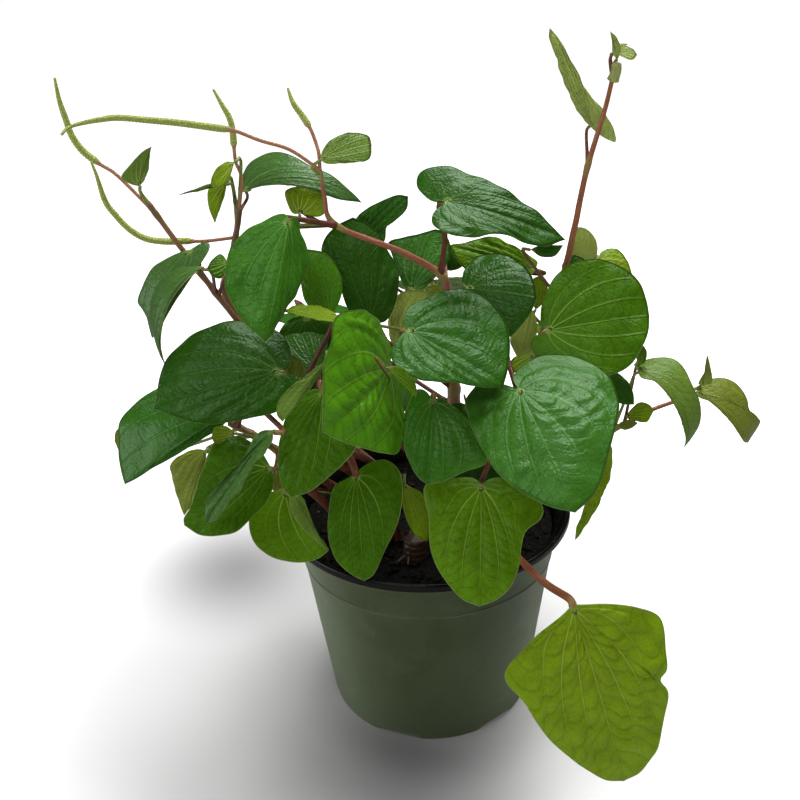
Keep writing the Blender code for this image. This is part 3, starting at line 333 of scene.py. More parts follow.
# Small, half-hidden and rolled pieces of foliage that no solid of the frame stands for, and
# what they do unless their own line says otherwise.
SMALL_HABIT = dict(face=(0, -0.85, 0.5), bend=15, fold=4, curl=(-6, -6))
SMALL_LEAVES = {
    "leaf_pale_behind": dict(
        stem="stem_centre", height=180, base=(-13, 8, 202), tip=(0, 2, 233), width=26, tone="glow",
        left=[(8, 15), (32, 31), (56, 34), (82, 32)],
        right=[(19, 18), (51, 28), (81, 28), (100, 21)]),
    "leaf_lime_behind": dict(
        stem="stem_right_tall", height=205, base=(57, 6, 219), tip=(59, 10, 235), width=12,
        tone="lime",
        left=[(27, 24), (62, 33), (89, 24)],
        right=[(24, 31), (60, 41), (89, 25)]),
    "leaf_lime_middle": dict(
        stem="stem_right_tall", height=180, base=(50, 4, 192), tip=(54, 0, 222), width=18,
        tone="glow",
        left=[(18, 25), (40, 42), (68, 39), (88, 20)],
        right=[(10, 28), (37, 31), (73, 23), (91, 13)]),
    "leaf_lime_small": dict(
        stem="stem_right_tall", height=185, base=(55, -5, 199), tip=(44, -12, 193), width=14,
        tone="lime",
        left=[(41, 8), (82, 11)],
        right=[(20, 21), (60, 40), (95, 28)]),
    "leaf_pale_by_stem": dict(
        stem="stem_right_tall", height=212, base=(86, 34, 229), tip=(80, 30, 253), width=22,
        tone="glow",
        left=[(29, 22), (69, 24), (94, 15)],
        right=[(12, 25), (40, 39), (69, 35), (92, 19)]),
    "leaf_dark_by_stem": dict(
        stem="stem_right_tall", height=225, base=(75, 10, 234), tip=(77, 16, 243), width=18,
        tone="deep",
        left=[(30, 30), (74, 22)],
        right=[(34, 25), (82, 30)]),
    "leaf_dark_right": dict(
        stem="stem_right", height=155, base=(87, -24, 196), tip=(100, -30, 182), width=24,
        tone="deep",
        left=[(13, 17), (46, 21), (75, 15)],
        right=[(14, 20), (46, 26), (78, 18)]),
    "leaf_bud_right": dict(
        stem="stem_right", height=163, base=(103, -22, 199), tip=(104, -24, 210), width=8,
        tone="mid",
        left=[(48, 32), (87, 18)],
        right=[(21, 30), (71, 27)]),
    "leaf_young_right": dict(
        stem="stem_right", height=166, base=(100, -18, 170), tip=(110, -28, 177), width=14,
        tone="lime",
        left=[(26, 25), (60, 40), (93, 24)],
        right=[(34, 23), (74, 32)]),
    "leaf_young_right_low": dict(
        stem="stem_right", height=160, base=(95, -20, 166), tip=(103, -28, 171), width=6,
        tone="olive",
        left=[(32, 31), (75, 31)],
        right=[(33, 43), (72, 34)]),
    "leaf_under_end": dict(
        stem="stem_right_tall", height=222, base=(50, -24, 259), tip=(64, -26, 261), width=10,
        tone="deep",
        left=[(31, 13), (71, 5)],
        right=[(28, 41), (71, 45)]),
    "leaf_olive_left": dict(
        stem="stem_front_left", height=175, base=(-140, 8, 146), tip=(-161, 4, 156), width=22,
        tone="olive",
        left=[(35, 32), (76, 27)],
        right=[(44, 44), (86, 44), (103, 24)]),
    "leaf_lime_left": dict(
        stem="stem_front_left", height=170, base=(-89, -44, 182), tip=(-99, -50, 184), width=14,
        tone="lime",
        left=[(46, 27), (90, 23)],
        right=[(36, 29), (81, 30)]),
    "leaf_mustard": dict(
        stem="stem_left", height=180, base=(-62, -30, 199), tip=(-61, -26, 213), width=12,
        tone="olive",
        left=[(25, 22), (70, 27), (96, 16)],
        right=[(10, 40), (46, 48), (84, 31)]),
    "leaf_curled": dict(
        stem="stem_front", height=190, base=(-42, -64, 226), tip=(-62, -78, 204), width=20,
        tone="pale",
        left=[(22, 5), (43, 7), (60, 4), (82, 3)],
        right=[(17, 6), (37, 5), (51, 23), (67, 33), (86, 31), (97, 18)]),
    "leaf_small_left": dict(
        stem="stem_left", height=240, base=(-85, -36, 262), tip=(-93, -42, 262), width=14,
        quilt=0.4, wave=0.2, tone="mid",
        left=[(55, 44), (95, 30)],
        right=[(15, 32), (66, 20)]),
    "leaf_dark_middle": dict(
        stem="stem_centre", height=232, base=(16, 24, 247), tip=(22, 20, 238), width=12,
        tone="deep",
        left=[(1, 25), (59, 33)],
        right=[(38, 44), (76, 63), (97, 31)]),
    "leaf_olive_low": dict(
        stem="stem_front_left", height=158, base=(-69, -56, 170), tip=(-70, -66, 162), width=8,
        tone="olive",
        left=[(31, 39), (80, 41)],
        right=[(29, 30), (74, 34)]),
    "leaf_upright_end": dict(
        stem="stem_right", height=176, base=(139, -8, 181), tip=(140, -8, 197), width=10, fold=0,
        tone="olive",
        left=[(4, 22), (50, 0), (83, 3)],
        right=[(9, 47), (51, 30), (83, 12)]),
    "leaf_young_low": dict(
        stem="stem_back_left", height=276, base=(-85, -15, 292), tip=(-91, -22, 276), width=12,
        tone="lime",
        left=[(36, 7), (71, 3)],
        right=[(3, 36), (20, 59), (62, 43)]),
    "leaf_bract": dict(
        stem="stem_back_left", height=272, base=(-85, -16, 292), tip=(-106, -26, 290), width=6,
        tone="pale",
        left=[(34, 5), (63, 9)],
        right=[(20, 31), (61, 13)]),
    "leaf_bud_left": dict(
        stem="stem_right_tall", height=326, base=(90, 4, 336), tip=(86, 2, 348), width=8,
        tone="young",
        left=[(32, 19), (61, 7)],
        right=[(25, 33), (69, 27)]),
    "leaf_bud_right_top": dict(
        stem="stem_right_tall", height=327, base=(90, 4, 339), tip=(98, 0, 338), width=9,
        tone="young",
        left=[(25, 34), (72, 24)],
        right=[(32, 24), (84, 32)]),
    "leaf_bud_tip": dict(
        stem="stem_right_tall", height=327, base=(91, 5, 340), tip=(95, 6, 342), width=5,
        tone="young",
        left=[(34, 35)],
        right=[(51, 6)]),
    "leaf_fill_left": dict(
        stem="stem_centre", height=150, base=(-57, 14, 216), tip=(-57, 6, 173), width=36, quilt=0.5,
        tone="deep",
        left=[(-2, 21), (15, 45), (41, 52), (69, 42), (88, 24)],
        right=[(-1, 21), (12, 38), (37, 46), (69, 37), (89, 19)]),
    "leaf_fill_low": dict(
        stem="stem_front_right", height=150, base=(20, -30, 184), tip=(24, -40, 135), width=32,
        quilt=0.5, tone="deep", stalk=0.5,
        left=[(-2, 15), (15, 35), (45, 48), (76, 44), (93, 26)],
        right=[(-6, 16), (3, 40), (27, 56), (59, 54), (86, 31)]),
    "leaf_curled_edge": dict(
        stem="stem_front", height=188, base=(-17, -78, 227), tip=(-5, -70, 209), width=6, bend=30,
        tone="fresh", stalk=0.5,
        left=[(19, 73), (50, 83), (82, 55)],
        right=[(18, -23), (46, -33), (79, -20)]),
    "leaf_rolled_edge": dict(
        stem="stem_front_left", height=138, base=(-63, -54, 154), tip=(-48, -69, 131), width=12,
        bend=20, tone="pale", stalk=0.5,
        left=[(12, 23), (36, 14), (63, 4), (84, 2)],
        right=[(3, 29), (23, 43), (45, 41), (72, 23)]),
}

# Each flower spike: the stem and height it grows from, the points it passes through, and
# how many of them belong to its bare stalk.
SPIKES = {
    "flower_spike_left": ("stem_left", 280, [(-131, -20, 298), (-138, -21, 304), (-144, -22, 310),
        (-147, -24, 317), (-148, -25, 324), (-149, -26, 332), (-149, -27, 341)], 3),
    "flower_spike_long": ("stem_centre", 296, [(-55, -22, 307), (-67, -25, 312), (-77, -28, 317),
        (-85, -30, 319), (-99, -33, 322), (-110, -36, 324), (-122, -39, 326), (-129, -42, 326),
        (-137, -44, 325), (-141, -47, 324), (-143, -50, 322)], 4),
    "flower_spike_top": ("stem_centre", 297, [(-43, -18, 304), (-44, -16, 308), (-46, -15, 314),
        (-49, -13, 319), (-53, -12, 325), (-55, -10, 331)], 3),
    "flower_spike_slender": ("stem_back_left", 279, [(-79, -10, 293), (-81, -9, 301),
        (-81, -8, 313), (-82, -7, 319), (-85, -6, 325), (-88, -5, 331)], 3),
    "flower_spike_low": ("stem_back_left", 265, [(-98, -11, 265), (-108, -13, 266),
        (-116, -16, 267), (-124, -17, 269), (-130, -19, 274), (-135, -20, 281), (-138, -22, 288),
        (-139, -25, 300), (-140, -26, 306)], 2),
}

# Bare stalks and shoots that no solid of the frame stands for: kind of bark, radius, points.
TWIGS = [
    ("dark", 1.2, [(-39, -14, 271), (-46, -11, 272), (-53, -8, 276)]),
    ("dark", 1.0, [(-39, -14, 271), (-46, -11, 270), (-55, -8, 269)]),
    ("red", 2.2, [(-65, -48, 161), (-53, -41, 144), (-44, -33, 126), (-31, -26, 106)]),
    ("deep red", 2.1, [(-63, -48, 167), (-49, -40, 152), (-39, -32, 134), (-25, -24, 104)]),
    ("red", 2.2, [(-55, -46, 172), (-42, -38, 160), (-32, -30, 144), (-20, -22, 106)]),
    ("deep red", 2.0, [(-48, -42, 172), (-31, -35, 162), (-21, -27, 144), (-15, -20, 104)]),
    ("red", 1.8, [(-41, -40, 174), (-37, -33, 154), (-29, -26, 115)]),
    ("red", 1.9, [(-37, -54, 175), (-35, -57, 172), (-33, -60, 166)]),
    ("deep red", 0.3, [(-82, -15, 287), (-83, -15, 284), (-82, -15, 282)]),
    ("shoot", 2.6, [(89, 5, 327), (90, 4, 331), (90, 4, 334)]),
]


# ---- curves and meshes -----------------------------------------------------------------

def unit(v):
    return np.asarray(v, float) / np.linalg.norm(v)


def smooth_route(points, step):
    """A Catmull-Rom curve through the points, cut into pieces of about one step."""
    p = np.array(points, float)
    p = np.vstack([2 * p[0] - p[1], p, 2 * p[-1] - p[-2]])
    dense = []
    for i in range(1, len(p) - 2):
        t = np.linspace(0, 1, 24, endpoint=False)[:, None]
        dense.append(0.5 * (2 * p[i] + (p[i + 1] - p[i - 1]) * t
                            + (2 * p[i - 1] - 5 * p[i] + 4 * p[i + 1] - p[i + 2]) * t ** 2
                            + (3 * p[i] - p[i - 1] - 3 * p[i + 1] + p[i + 2]) * t ** 3))
    dense = np.vstack(dense + [p[-2]])
    return even_steps(dense, max(3, int(round(run_of(dense)[-1] / step)) + 1))


def run_of(path):
    """Distance along a path at each of its points."""
    return np.concatenate([[0], np.cumsum(np.linalg.norm(np.diff(path, axis=0), axis=1))])


def even_steps(path, count):
    """The path again, as so many points an even distance apart."""
    run = run_of(path)
    at = np.linspace(0, run[-1], count)
    return np.column_stack([np.interp(at, run, column) for column in path.T])


def circle(sides):
    """The angles of so many even steps round a circle."""
    return np.linspace(0, 2 * pi, sides, endpoint=False)


def ripple(x, y, seed):
    """A smooth uneven field between about -1 and 1, the same on every run."""
    return (np.sin(0.21 * x + 1.7 * seed) * np.cos(0.17 * y - seed)
            + 0.6 * np.sin(0.43 * y + 0.31 * x + 2.1 * seed)
            + 0.4 * np.cos(0.77 * x - 0.53 * y + 0.9 * seed)) / 1.6


def bake_range(share):
    """A share from 0 to 1, kept just inside the edges of the baking map."""
    return 0.01 + 0.98 * share


class Shell:
    """A mesh put together from grids of points, with its maps and its material slots."""

    def __init__(self):
        self.verts, self.faces, self.slots = [], [], []
        self.maps = {"place": [], "veins": [], "edge": [], "OFBake": []}

    def points(self, xyz, **maps):
        """Add points with their maps, and give back their numbers."""
        first = len(self.verts)
        xyz = np.asarray(xyz, float).reshape(-1, 3)
        self.verts.extend(map(tuple, xyz * MM))
        for name, values in self.maps.items():
            given = maps.get(name)
            given = np.zeros((len(xyz), 2)) if given is None else np.asarray(given, float)
            values.extend(map(tuple, given.reshape(-1, 2)))
        return list(range(first, len(self.verts)))

    def face(self, corners, slot=0):
        self.faces.append(tuple(corners))
        self.slots.append(slot)

    def band(self, low, high, slot=0):
        """Quads between two rings of point numbers."""
        for k in range(len(low)):
            m = (k + 1) % len(low)
            self.face((low[k], low[m], high[m], high[k]), slot)

    def bands(self, rows, slot=0):
        """Quads between each ring and the next."""
        for low, high in zip(rows, rows[1:]):
            self.band(low, high, slot)

    def fan(self, row, tip, slot=0, inward=False):
        """Triangles from one ring to the point at its middle."""
        for k in range(len(row)):
            pair = (row[k], row[(k + 1) % len(row)])
            self.face((*(pair[::-1] if inward else pair), tip), slot)

    def tube(self, path, radii, sides, slot=0, edge=None, bake=(0.0, 1.0), wobble=None):
        """A round tube with domed ends."""
        path, radii = np.asarray(path, float), np.asarray(radii, float)
        tangents = np.gradient(path, axis=0)
        side = np.cross(tangents[0], (0, 0, 1) if abs(unit(tangents[0])[2]) < 0.9 else (0, 1, 0))
        along = run_of(path)
        turn = circle(sides)
        front = np.abs(turn / pi - 1)
        rows = []
        for i, (point, tangent) in enumerate(zip(path, tangents)):
            tangent = unit(tangent)
            side = unit(side - tangent * side.dot(tangent))
            other = np.cross(tangent, side)
            radius = radii[i] * (1 if wobble is None else wobble(along[i], turn))
            ring = (point + (np.cos(turn) * radius)[:, None] * side
                    + (np.sin(turn) * radius)[:, None] * other)
            far_along = np.full(sides, bake_range(along[i] / along[-1]))
            rows.append(self.points(
                ring, place=np.column_stack([np.full(sides, along[i] / 100), 1 - front]),
                edge=None if edge is None else np.tile(edge[i], (sides, 1)),
                OFBake=np.column_stack([bake[0] + (bake[1] - bake[0]) * front, far_along])))
        self.bands(rows, slot)
        for row, end, out in ((rows[0][::-1], 0, -1), (rows[-1], -1, 1)):
            cap = path[end] + unit(tangents[end]) * radii[end] * 0.5 * out
            tip, = self.points(cap, place=[(along[end] / 100, 0)],
                               edge=None if edge is None else edge[end],
                               OFBake=[(bake[0], 0.01 if end == 0 else 0.99)])
            self.fan(row, tip, slot)

    def finish(self, name, materials, slot):
        """Make the object and ride it on the frame's body; its record slot is not used."""
        mesh = bpy.data.meshes.new(name)
        mesh.from_pydata(self.verts, [], self.faces)
        corners = np.zeros(len(mesh.loops), dtype=np.int32)
        mesh.loops.foreach_get("vertex_index", corners)
        for map_name, values in self.maps.items():
            values = np.asarray(values, np.float32)
            if values.any():
                layer = mesh.uv_layers.new(name=map_name)
                layer.uv.foreach_set("vector", values[corners].ravel())
        mesh.polygons.foreach_set("material_index", self.slots)
        mesh.polygons.foreach_set("use_smooth", [True] * len(self.faces))
        for made in materials:
            mesh.materials.append(made)
        mesh.validate(clean_customdata=False)
        piece = bpy.data.objects.new(name, mesh)
        bpy.context.scene.collection.objects.link(piece)
        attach(piece, ROOT)
        return piece


# ---- shader building -------------------------------------------------------------------

def tint(red, green, blue):
    """A screen colour, 0 to 255, as the linear colour that shaders use."""
    return tuple((c / 255 / 12.92) if c <= 10 else ((c / 255 + 0.055) / 1.055) ** 2.4
                 for c in (red, green, blue)) + (1.0,)


def shade(colour, share):
    """A linear colour made darker or lighter by a share of itself."""
    return tuple(min(1, c * share) for c in colour[:3]) + (1,)


class Nodes:
    """Short names for adding and joining shader nodes in one tree."""

    def __init__(self, tree):
        self.tree = tree

    def add(self, kind, **settings):
        made = self.tree.nodes.new(kind)
        for key, value in settings.items():
            setattr(made, key, value)
        return made

    def feed(self, socket, value):
        if isinstance(value, bpy.types.NodeSocket):
            self.tree.links.new(value, socket)
        else:
            socket.default_value = value

    def feed_all(self, sockets, values):
        for socket, value in zip(sockets, values):
            self.feed(socket, value)

    def sum(self, operation, *values, clamp=False):
        made = self.add("ShaderNodeMath", operation=operation, use_clamp=clamp)
        self.feed_all(made.inputs, values)
        return made.outputs[0]

    def times(self, value, share):
        return self.sum("MULTIPLY", value, share)

    def fade(self, value, low, high, start=0.0, end=1.0):
        """Value from low to high, carried smoothly to start to end."""
        made = self.add("ShaderNodeMapRange", interpolation_type="SMOOTHSTEP")
        self.feed_all(made.inputs, (value, low, high, start, end))
        return made.outputs[0]

    def mix(self, share, low, high):
        made = self.add("ShaderNodeMix", data_type="RGBA")
        for number, value in ((0, share), (6, low), (7, high)):
            self.feed(made.inputs[number], value)
        return made.outputs[2]

    def lay(self, colour, *layers):
        """Lay colours over one another, each by its mask and its strength."""
        for mask, strength, over in layers:
            colour = self.mix(self.times(mask, strength), colour, over)
        return colour

    def noise(self, scale, detail=3.0, rough=0.55, vector=None):
        made = self.add("ShaderNodeTexNoise")
        made.inputs["Scale"].default_value = scale
        made.inputs["Detail"].default_value = detail
        made.inputs["Roughness"].default_value = rough
        if vector is not None:
            self.feed(made.inputs["Vector"], vector)
        return made.outputs["Fac"]

    def object_place(self):
        return self.add("ShaderNodeTexCoord").outputs["Object"]

    def map_xy(self, name):
        made = self.add("ShaderNodeSeparateXYZ")
        self.feed(made.inputs[0], self.add("ShaderNodeUVMap", uv_map=name).outputs[0])
        return made.outputs[0], made.outputs[1]

    def flat_place(self, x, y):
        made = self.add("ShaderNodeCombineXYZ")
        self.feed_all(made.inputs, (x, y))
        return made.outputs[0]

    def bump(self, height, distance, strength=1.0):
        made = self.add("ShaderNodeBump")
        made.inputs["Distance"].default_value = distance
        made.inputs["Strength"].default_value = strength
        self.feed(made.inputs["Height"], height)
        return made.outputs[0]

    def group(self, name):
        return self.add("ShaderNodeGroup", node_tree=bpy.data.node_groups[name]).outputs


def new_group(name, *outputs):
    """An empty shader node group with value outputs, its tree and its output sockets."""
    tree = bpy.data.node_groups.new(name, "ShaderNodeTree")
    for output in outputs:
        tree.interface.new_socket(output, in_out="OUTPUT", socket_type="NodeSocketFloat")
    return Nodes(tree), tree.nodes.new("NodeGroupOutput").inputs


def new_material(name, roughness, **sockets):
    """A material with a Principled shader whose plain sockets are set by keyword."""
    made = bpy.data.materials.new(name)
    made.use_nodes = True
    shader = made.node_tree.nodes["Principled BSDF"]
    shader.inputs["Roughness"].default_value = roughness
    for key, value in sockets.items():
        shader.inputs[key.replace("_", " ")].default_value = value
    return made, Nodes(made.node_tree), shader.inputs


def make_leaf_groups():
    """Masks drawn from a leaf's own maps: veins, net, margin, heart and mottling."""
    n, out = new_group("leaf pattern", "Main", "Groove", "Side", "Net", "Margin", "Heart", "Mottle",
                       "Height")
    x, y = (n.times(value, 100.0) for value in n.map_xy("place"))
    a, b = n.map_xy("veins")
    margin, ring = n.map_xy("edge")
    far = n.sum("SQRT", n.sum("ADD", n.times(x, x), n.times(y, y)))
    ray = n.times(n.sum("PINGPONG", a, 0.5), n.sum("ADD", n.times(far, 0.5), 0.4))
    strong = n.times(n.fade(a, 0.6, 2.0, 0.35, 1.0), n.fade(a, 0.5, 0.6))
    main = n.times(n.fade(ray, 0.12, 0.62, 1.0, 0.0), strong)
    main = n.times(main, n.fade(ring, 0.35, 1.0, 1.0, 0.35))
    groove = n.times(n.fade(ray, 0.2, 1.7, 1.0, 0.0), strong)
    side = n.times(n.fade(n.sum("PINGPONG", b, 0.5), 0.0, 0.2, 1.0, 0.0), n.fade(far, 3.0, 8.0))
    place = n.flat_place(x, y)
    drift = n.add("ShaderNodeTexNoise")
    drift.inputs["Scale"].default_value = 0.4
    n.feed(drift.inputs["Vector"], place)
    bent = n.add("ShaderNodeVectorMath", operation="ADD")
    n.feed_all(bent.inputs, (place, drift.outputs["Color"]))
    cells = n.add("ShaderNodeTexVoronoi", feature="DISTANCE_TO_EDGE")
    cells.inputs["Scale"].default_value = 0.5
    n.feed(cells.inputs["Vector"], bent.outputs[0])
    net = n.fade(cells.outputs["Distance"], 0.0, 0.3, 1.0, 0.0)
    heart = n.fade(far, 0.9, 2.8, 1.0, 0.0)
    mottle = n.noise(0.07, 4.0, 0.6, place)
    height = n.times(n.noise(0.55, 3.0, 0.55, place), 0.6)
    for mask, depth in ((net, 0.12), (groove, 0.45), (side, 0.18)):
        height = n.sum("SUBTRACT", height, n.times(mask, depth))
    n.feed_all(out, (main, groove, side, net, n.fade(margin, 0.12, 0.5, 1.0, 0.0), heart, mottle,
                     height))


def make_grain_groups():
    """Streaks along a stem, and the dull dust and scuffs of the pot."""
    n, out = new_group("stem pattern", "Streak", "Spot", "Node", "Height")
    along, around = n.map_xy("place")
    near, _ = n.map_xy("edge")
    streak = n.noise(1.0, 4.0, 0.6, n.flat_place(n.times(along, 14.0), n.times(around, 9.0)))
    spot = n.fade(n.noise(900.0, 2.0, 0.5, n.object_place()), 0.6, 0.72)
    height = n.sum("ADD", streak, n.times(spot, 0.4))
    n.feed_all(out, (streak, spot, n.fade(near, 1.0, 7.0, 1.0, 0.0), height))
    n, out = new_group("dust", "Dust", "Scuff", "Height")
    dust = n.fade(n.noise(55.0, 6.0, 0.65, n.object_place()), 0.35, 0.75)
    scuff = n.fade(n.noise(320.0, 5.0, 0.7, n.object_place()), 0.62, 0.72)
    n.feed_all(out, (dust, scuff, n.noise(1400.0, 3.0, 0.6, n.object_place())))


# ---- settings --------------------------------------------------------------------------

# Each tone: the record slot of its leaves, then its blade, its paler veins and its underside
# as screen colours.
TONES = {
    "deep": ("leaf_dark", (36, 78, 4), (76, 120, 40), (88, 112, 34)),
    "dark": ("leaf_dark", (42, 92, 12), (92, 142, 62), (92, 122, 44)),
    "leafy": ("leaf_dark", (52, 106, 16), (104, 154, 66), (98, 128, 50)),
    "cool": ("leaf_dark", (50, 100, 20), (104, 152, 78), (98, 128, 54)),
    "dusky": ("leaf_dark", (62, 98, 40), (104, 140, 76), (92, 120, 62)),
    "mid": ("leaf_mid", (58, 100, 3), (116, 152, 48), (106, 132, 36)),
    "fresh": ("leaf_mid", (82, 124, 4), (144, 174, 62), (112, 138, 40)),
    "bright": ("leaf_mid", (72, 128, 10), (122, 166, 58), (112, 140, 40)),
    "pale": ("leaf_mid", (96, 124, 44), (136, 156, 82), (120, 142, 64)),
    "young": ("leaf_mid", (150, 170, 84), (166, 180, 104), (138, 154, 78)),
    "lime": ("leaf_lime", (112, 142, 6), (168, 186, 76), (126, 148, 44)),
    "olive": ("leaf_olive", (112, 126, 42), (138, 148, 70), (130, 142, 58)),
    # The glow tone is brighter than these leaves' own colour: painted light on leaves that lie in
    # shade behind the others.
    "glow": ("leaf_olive", (168, 186, 88), (188, 204, 110), (164, 182, 90)),
}
GLOSSY_SLOT = "leaf_dark"
LEAF_SHEEN = (0.68, 1.0, 0.66, 1.0)             # the tint of a leaf's highlights
GLOSSY_SHINE, BRIGHT_SHINE, DULL_SHINE = 0.34, 0.3, 0.16
HEART = tint(140, 158, 80)                      # where the stalk meets the blade
MARGIN = tint(150, 166, 96)
UNDER_SIDE_VEIN, UNDER_MAIN_VEIN = tint(146, 156, 84), tint(154, 160, 92)
UNDER_MARGIN = tint(156, 166, 100)
GREEN_STALKS = ("lime", "olive", "pale")        # tones whose stalks are green, not red

# The finish of each kind of stem and stalk: bark and node, as screen colours.
BARKS = {
    "red": ((116, 62, 40), (142, 128, 70)),
    "deep red": ((96, 50, 34), (66, 44, 30)),
    "pink": ((170, 104, 78), (150, 144, 84)),
    "tan": ((150, 108, 76), (104, 84, 52)),
    "orange": ((168, 100, 62), (142, 128, 66)),
    "green": ((128, 142, 62), (140, 152, 74)),
    "shoot": ((170, 178, 98), (176, 184, 104)),
    "dark": ((70, 44, 28), (60, 44, 30)),
}
STEM_BARKS = {"stem_centre": "pink", "stem_left": "tan", "stem_back_left": "tan",
              "stem_right_tall": "orange", "stem_right": "orange"}
BARK_SPOT = tint(182, 146, 104)
BARE_SPIKE = tint(176, 124, 92)

# The pot's plastics: which colour, roughness, how dusty and how shiny each is.
PLASTICS = {
    "pot wall": ("wall", 0.42, 0.22, 0.5),
    "pot lip": ("lip", 0.26, 0.04, 0.25),
    "pot inside": ("lip", 0.3, 0.06, 0.25),
}
# Dust and scuffs are the plastic's own marks; the wall's edge colour is a painted sheen.
DUST, SCUFF, WALL_EDGE_SHEEN = tint(104, 106, 84), tint(150, 150, 136), tint(128, 142, 112)

# What lies on the soil, as screen colours, in the order of the material slots after the soil.
LITTER = {"bark chip": (38, 27, 17), "fibre": (62, 48, 30), "grit": (176, 170, 158),
          "straw": (150, 134, 100)}


def colour(name, description, screen):
    return FloatVectorProperty(name=name, description=description, subtype="COLOR", size=3,
                               min=0, max=1, default=tint(*screen)[:3])


def amount(name, description, default, **more):
    return FloatProperty(name=name, description=description, default=default, **more)


class PotSettings(bpy.types.PropertyGroup):
    sides: IntProperty(name="Sides", description="Facets round the pot", default=168, min=48)
    wall: colour("Wall", "Plastic of the pot's wall", (56, 69, 36))
    lip: colour("Lip", "Plastic of the lip band", (5, 7, 4))
    soil: colour("Soil", "Moist potting mix", (9, 8, 4))
    bits: IntProperty(name="Bits", description="Loose pieces on the soil", default=420, min=0)


class LeafSettings(bpy.types.PropertyGroup):
    thickness: amount("Thickness", "Blade thickness in millimetres", 0.9)
    quilt: amount("Quilting", "Height of the bulges in millimetres", 1.05)
    groove: amount("Vein Depth", "Depth of the main veins in millimetres", 0.7)
    wave: amount("Margin Wave", "Waviness of the margin in millimetres", 0.8)
    roughness: amount("Roughness", "Roughness of the upper side", 0.32, subtype="FACTOR")


class StemSettings(bpy.types.PropertyGroup):
    facets: IntProperty(name="Facets", description="Facets round a stem", default=16, min=6)
    spike: colour("Spike", "Flower spikes", (168, 182, 84))


class StageSettings(bpy.types.PropertyGroup):
    floor: colour("Floor", "Floor and backdrop", (232, 232, 232))
    key: amount("Key Light", "Power of the overhead lamps", 14.5, unit="POWER")
    fill: amount("Fill Light", "Power of the low lamp in front", 3.2, unit="POWER")
    front: amount("Front Light", "Power of the lamp above the camera", 1.3, unit="POWER")
    side: amount("Side Light", "Power of the lamp on the left", 3.4, unit="POWER")
    sky: amount("Sky", "Brightness of the surroundings", 0.15)


# ---- finishes --------------------------------------------------------------------------

def leaf_material(tone):
    """The upper side of a leaf in one tone, with shade painted into the grooves along its main
    veins and into the valleys between its side veins.
    """
    name = "leaf upper " + tone
    if name in bpy.data.materials:
        return bpy.data.materials[name]
    slot, *colours = TONES[tone]
    blade, vein, _ = (tint(*c) for c in colours)
    glossy = slot == GLOSSY_SLOT
    shine = GLOSSY_SHINE if glossy else BRIGHT_SHINE if tone == "bright" else DULL_SHINE
    roughness = bpy.context.scene.peperomia_leaves.roughness
    made, n, sockets = new_material(name, roughness, Specular_IOR_Level=shine,
                                    Specular_Tint=LEAF_SHEEN)
    main, groove, side, net, margin, heart, mottle, height = n.group("leaf pattern")
    light = n.mix(n.fade(mottle, 0.3, 0.7), shade(blade, 0.86), shade(blade, 1.14))
    # Painted shade: the grooves beside the main veins and the valleys between the side veins are
    # darkened in the colour itself.
    painted_crease_shade = shade(blade, 0.45)
    light = n.lay(light, (net, 0.1, vein), (side, 0.2 if glossy else 0.27, painted_crease_shade),
                  (groove, 0.16, painted_crease_shade), (main, 0.55 if glossy else 0.85, vein),
                  (heart, 0.6, HEART), (margin, 0.4 if glossy else 0.7, MARGIN))
    n.feed(sockets["Base Color"], light)
    n.feed(sockets["Roughness"], n.sum("ADD", n.times(mottle, 0.16), roughness - 0.08))
    n.feed(sockets["Normal"], n.bump(height, 0.0005, 0.9))
    return made


def underside_material(tone):
    """The matte, paler underside of a leaf."""
    name = "leaf underside " + tone
    if name in bpy.data.materials:
        return bpy.data.materials[name]
    _, blade, _, back = TONES[tone]
    blade, back = tint(*blade), tint(*back)
    made, n, sockets = new_material(name, 0.5, Specular_IOR_Level=0.2)
    main, _, side, net, margin, _, mottle, height = n.group("leaf pattern")
    light = n.mix(n.fade(mottle, 0.3, 0.7), shade(back, 0.82), back)
    light = n.lay(light, (net, 0.25, blade), (side, 0.3, UNDER_SIDE_VEIN),
                  (main, 0.7, UNDER_MAIN_VEIN), (margin, 0.4, UNDER_MARGIN))
    n.feed(sockets["Base Color"], light)
    n.feed(sockets["Normal"], n.bump(height, -0.0004, 0.8))
    return made


def stem_material(kind):
    """Streaked, spotted bark with a different colour at the nodes."""
    name = "bark " + kind
    if name in bpy.data.materials:
        return bpy.data.materials[name]
    body, node = (tint(*c) for c in BARKS[kind])
    made, n, sockets = new_material(name, 0.4)
    streak, spot, near, height = n.group("stem pattern")
    light = n.mix(n.fade(streak, 0.35, 0.68), shade(body, 0.6), body)
    n.feed(sockets["Base Color"], n.lay(light, (spot, 0.35, BARK_SPOT), (near, 0.7, node)))
    n.feed(sockets["Normal"], n.bump(height, 0.0003, 0.6))
    return made


def spike_material():
    """Tiny crowded flowers: yellow-green beads with darker gaps between them."""
    name = "flower spike"
    if name in bpy.data.materials:
        return bpy.data.materials[name]
    body = bpy.context.scene.peperomia_stems.spike
    made, n, sockets = new_material(name, 0.55)
    cells = n.add("ShaderNodeTexVoronoi")
    cells.inputs["Scale"].default_value = 1500.0
    n.feed(cells.inputs["Vector"], n.object_place())
    bead = n.fade(cells.outputs["Distance"], 0.1, 0.75)
    flowering, _ = n.map_xy("edge")
    light = n.mix(bead, shade(body, 1.3), shade(body, 0.72))
    n.feed(sockets["Base Color"], n.mix(n.fade(flowering, 0.0, 1.0), BARE_SPIKE, light))
    n.feed(sockets["Normal"], n.bump(n.sum("SUBTRACT", 1.0, bead), 0.0004, 0.8))
    return made


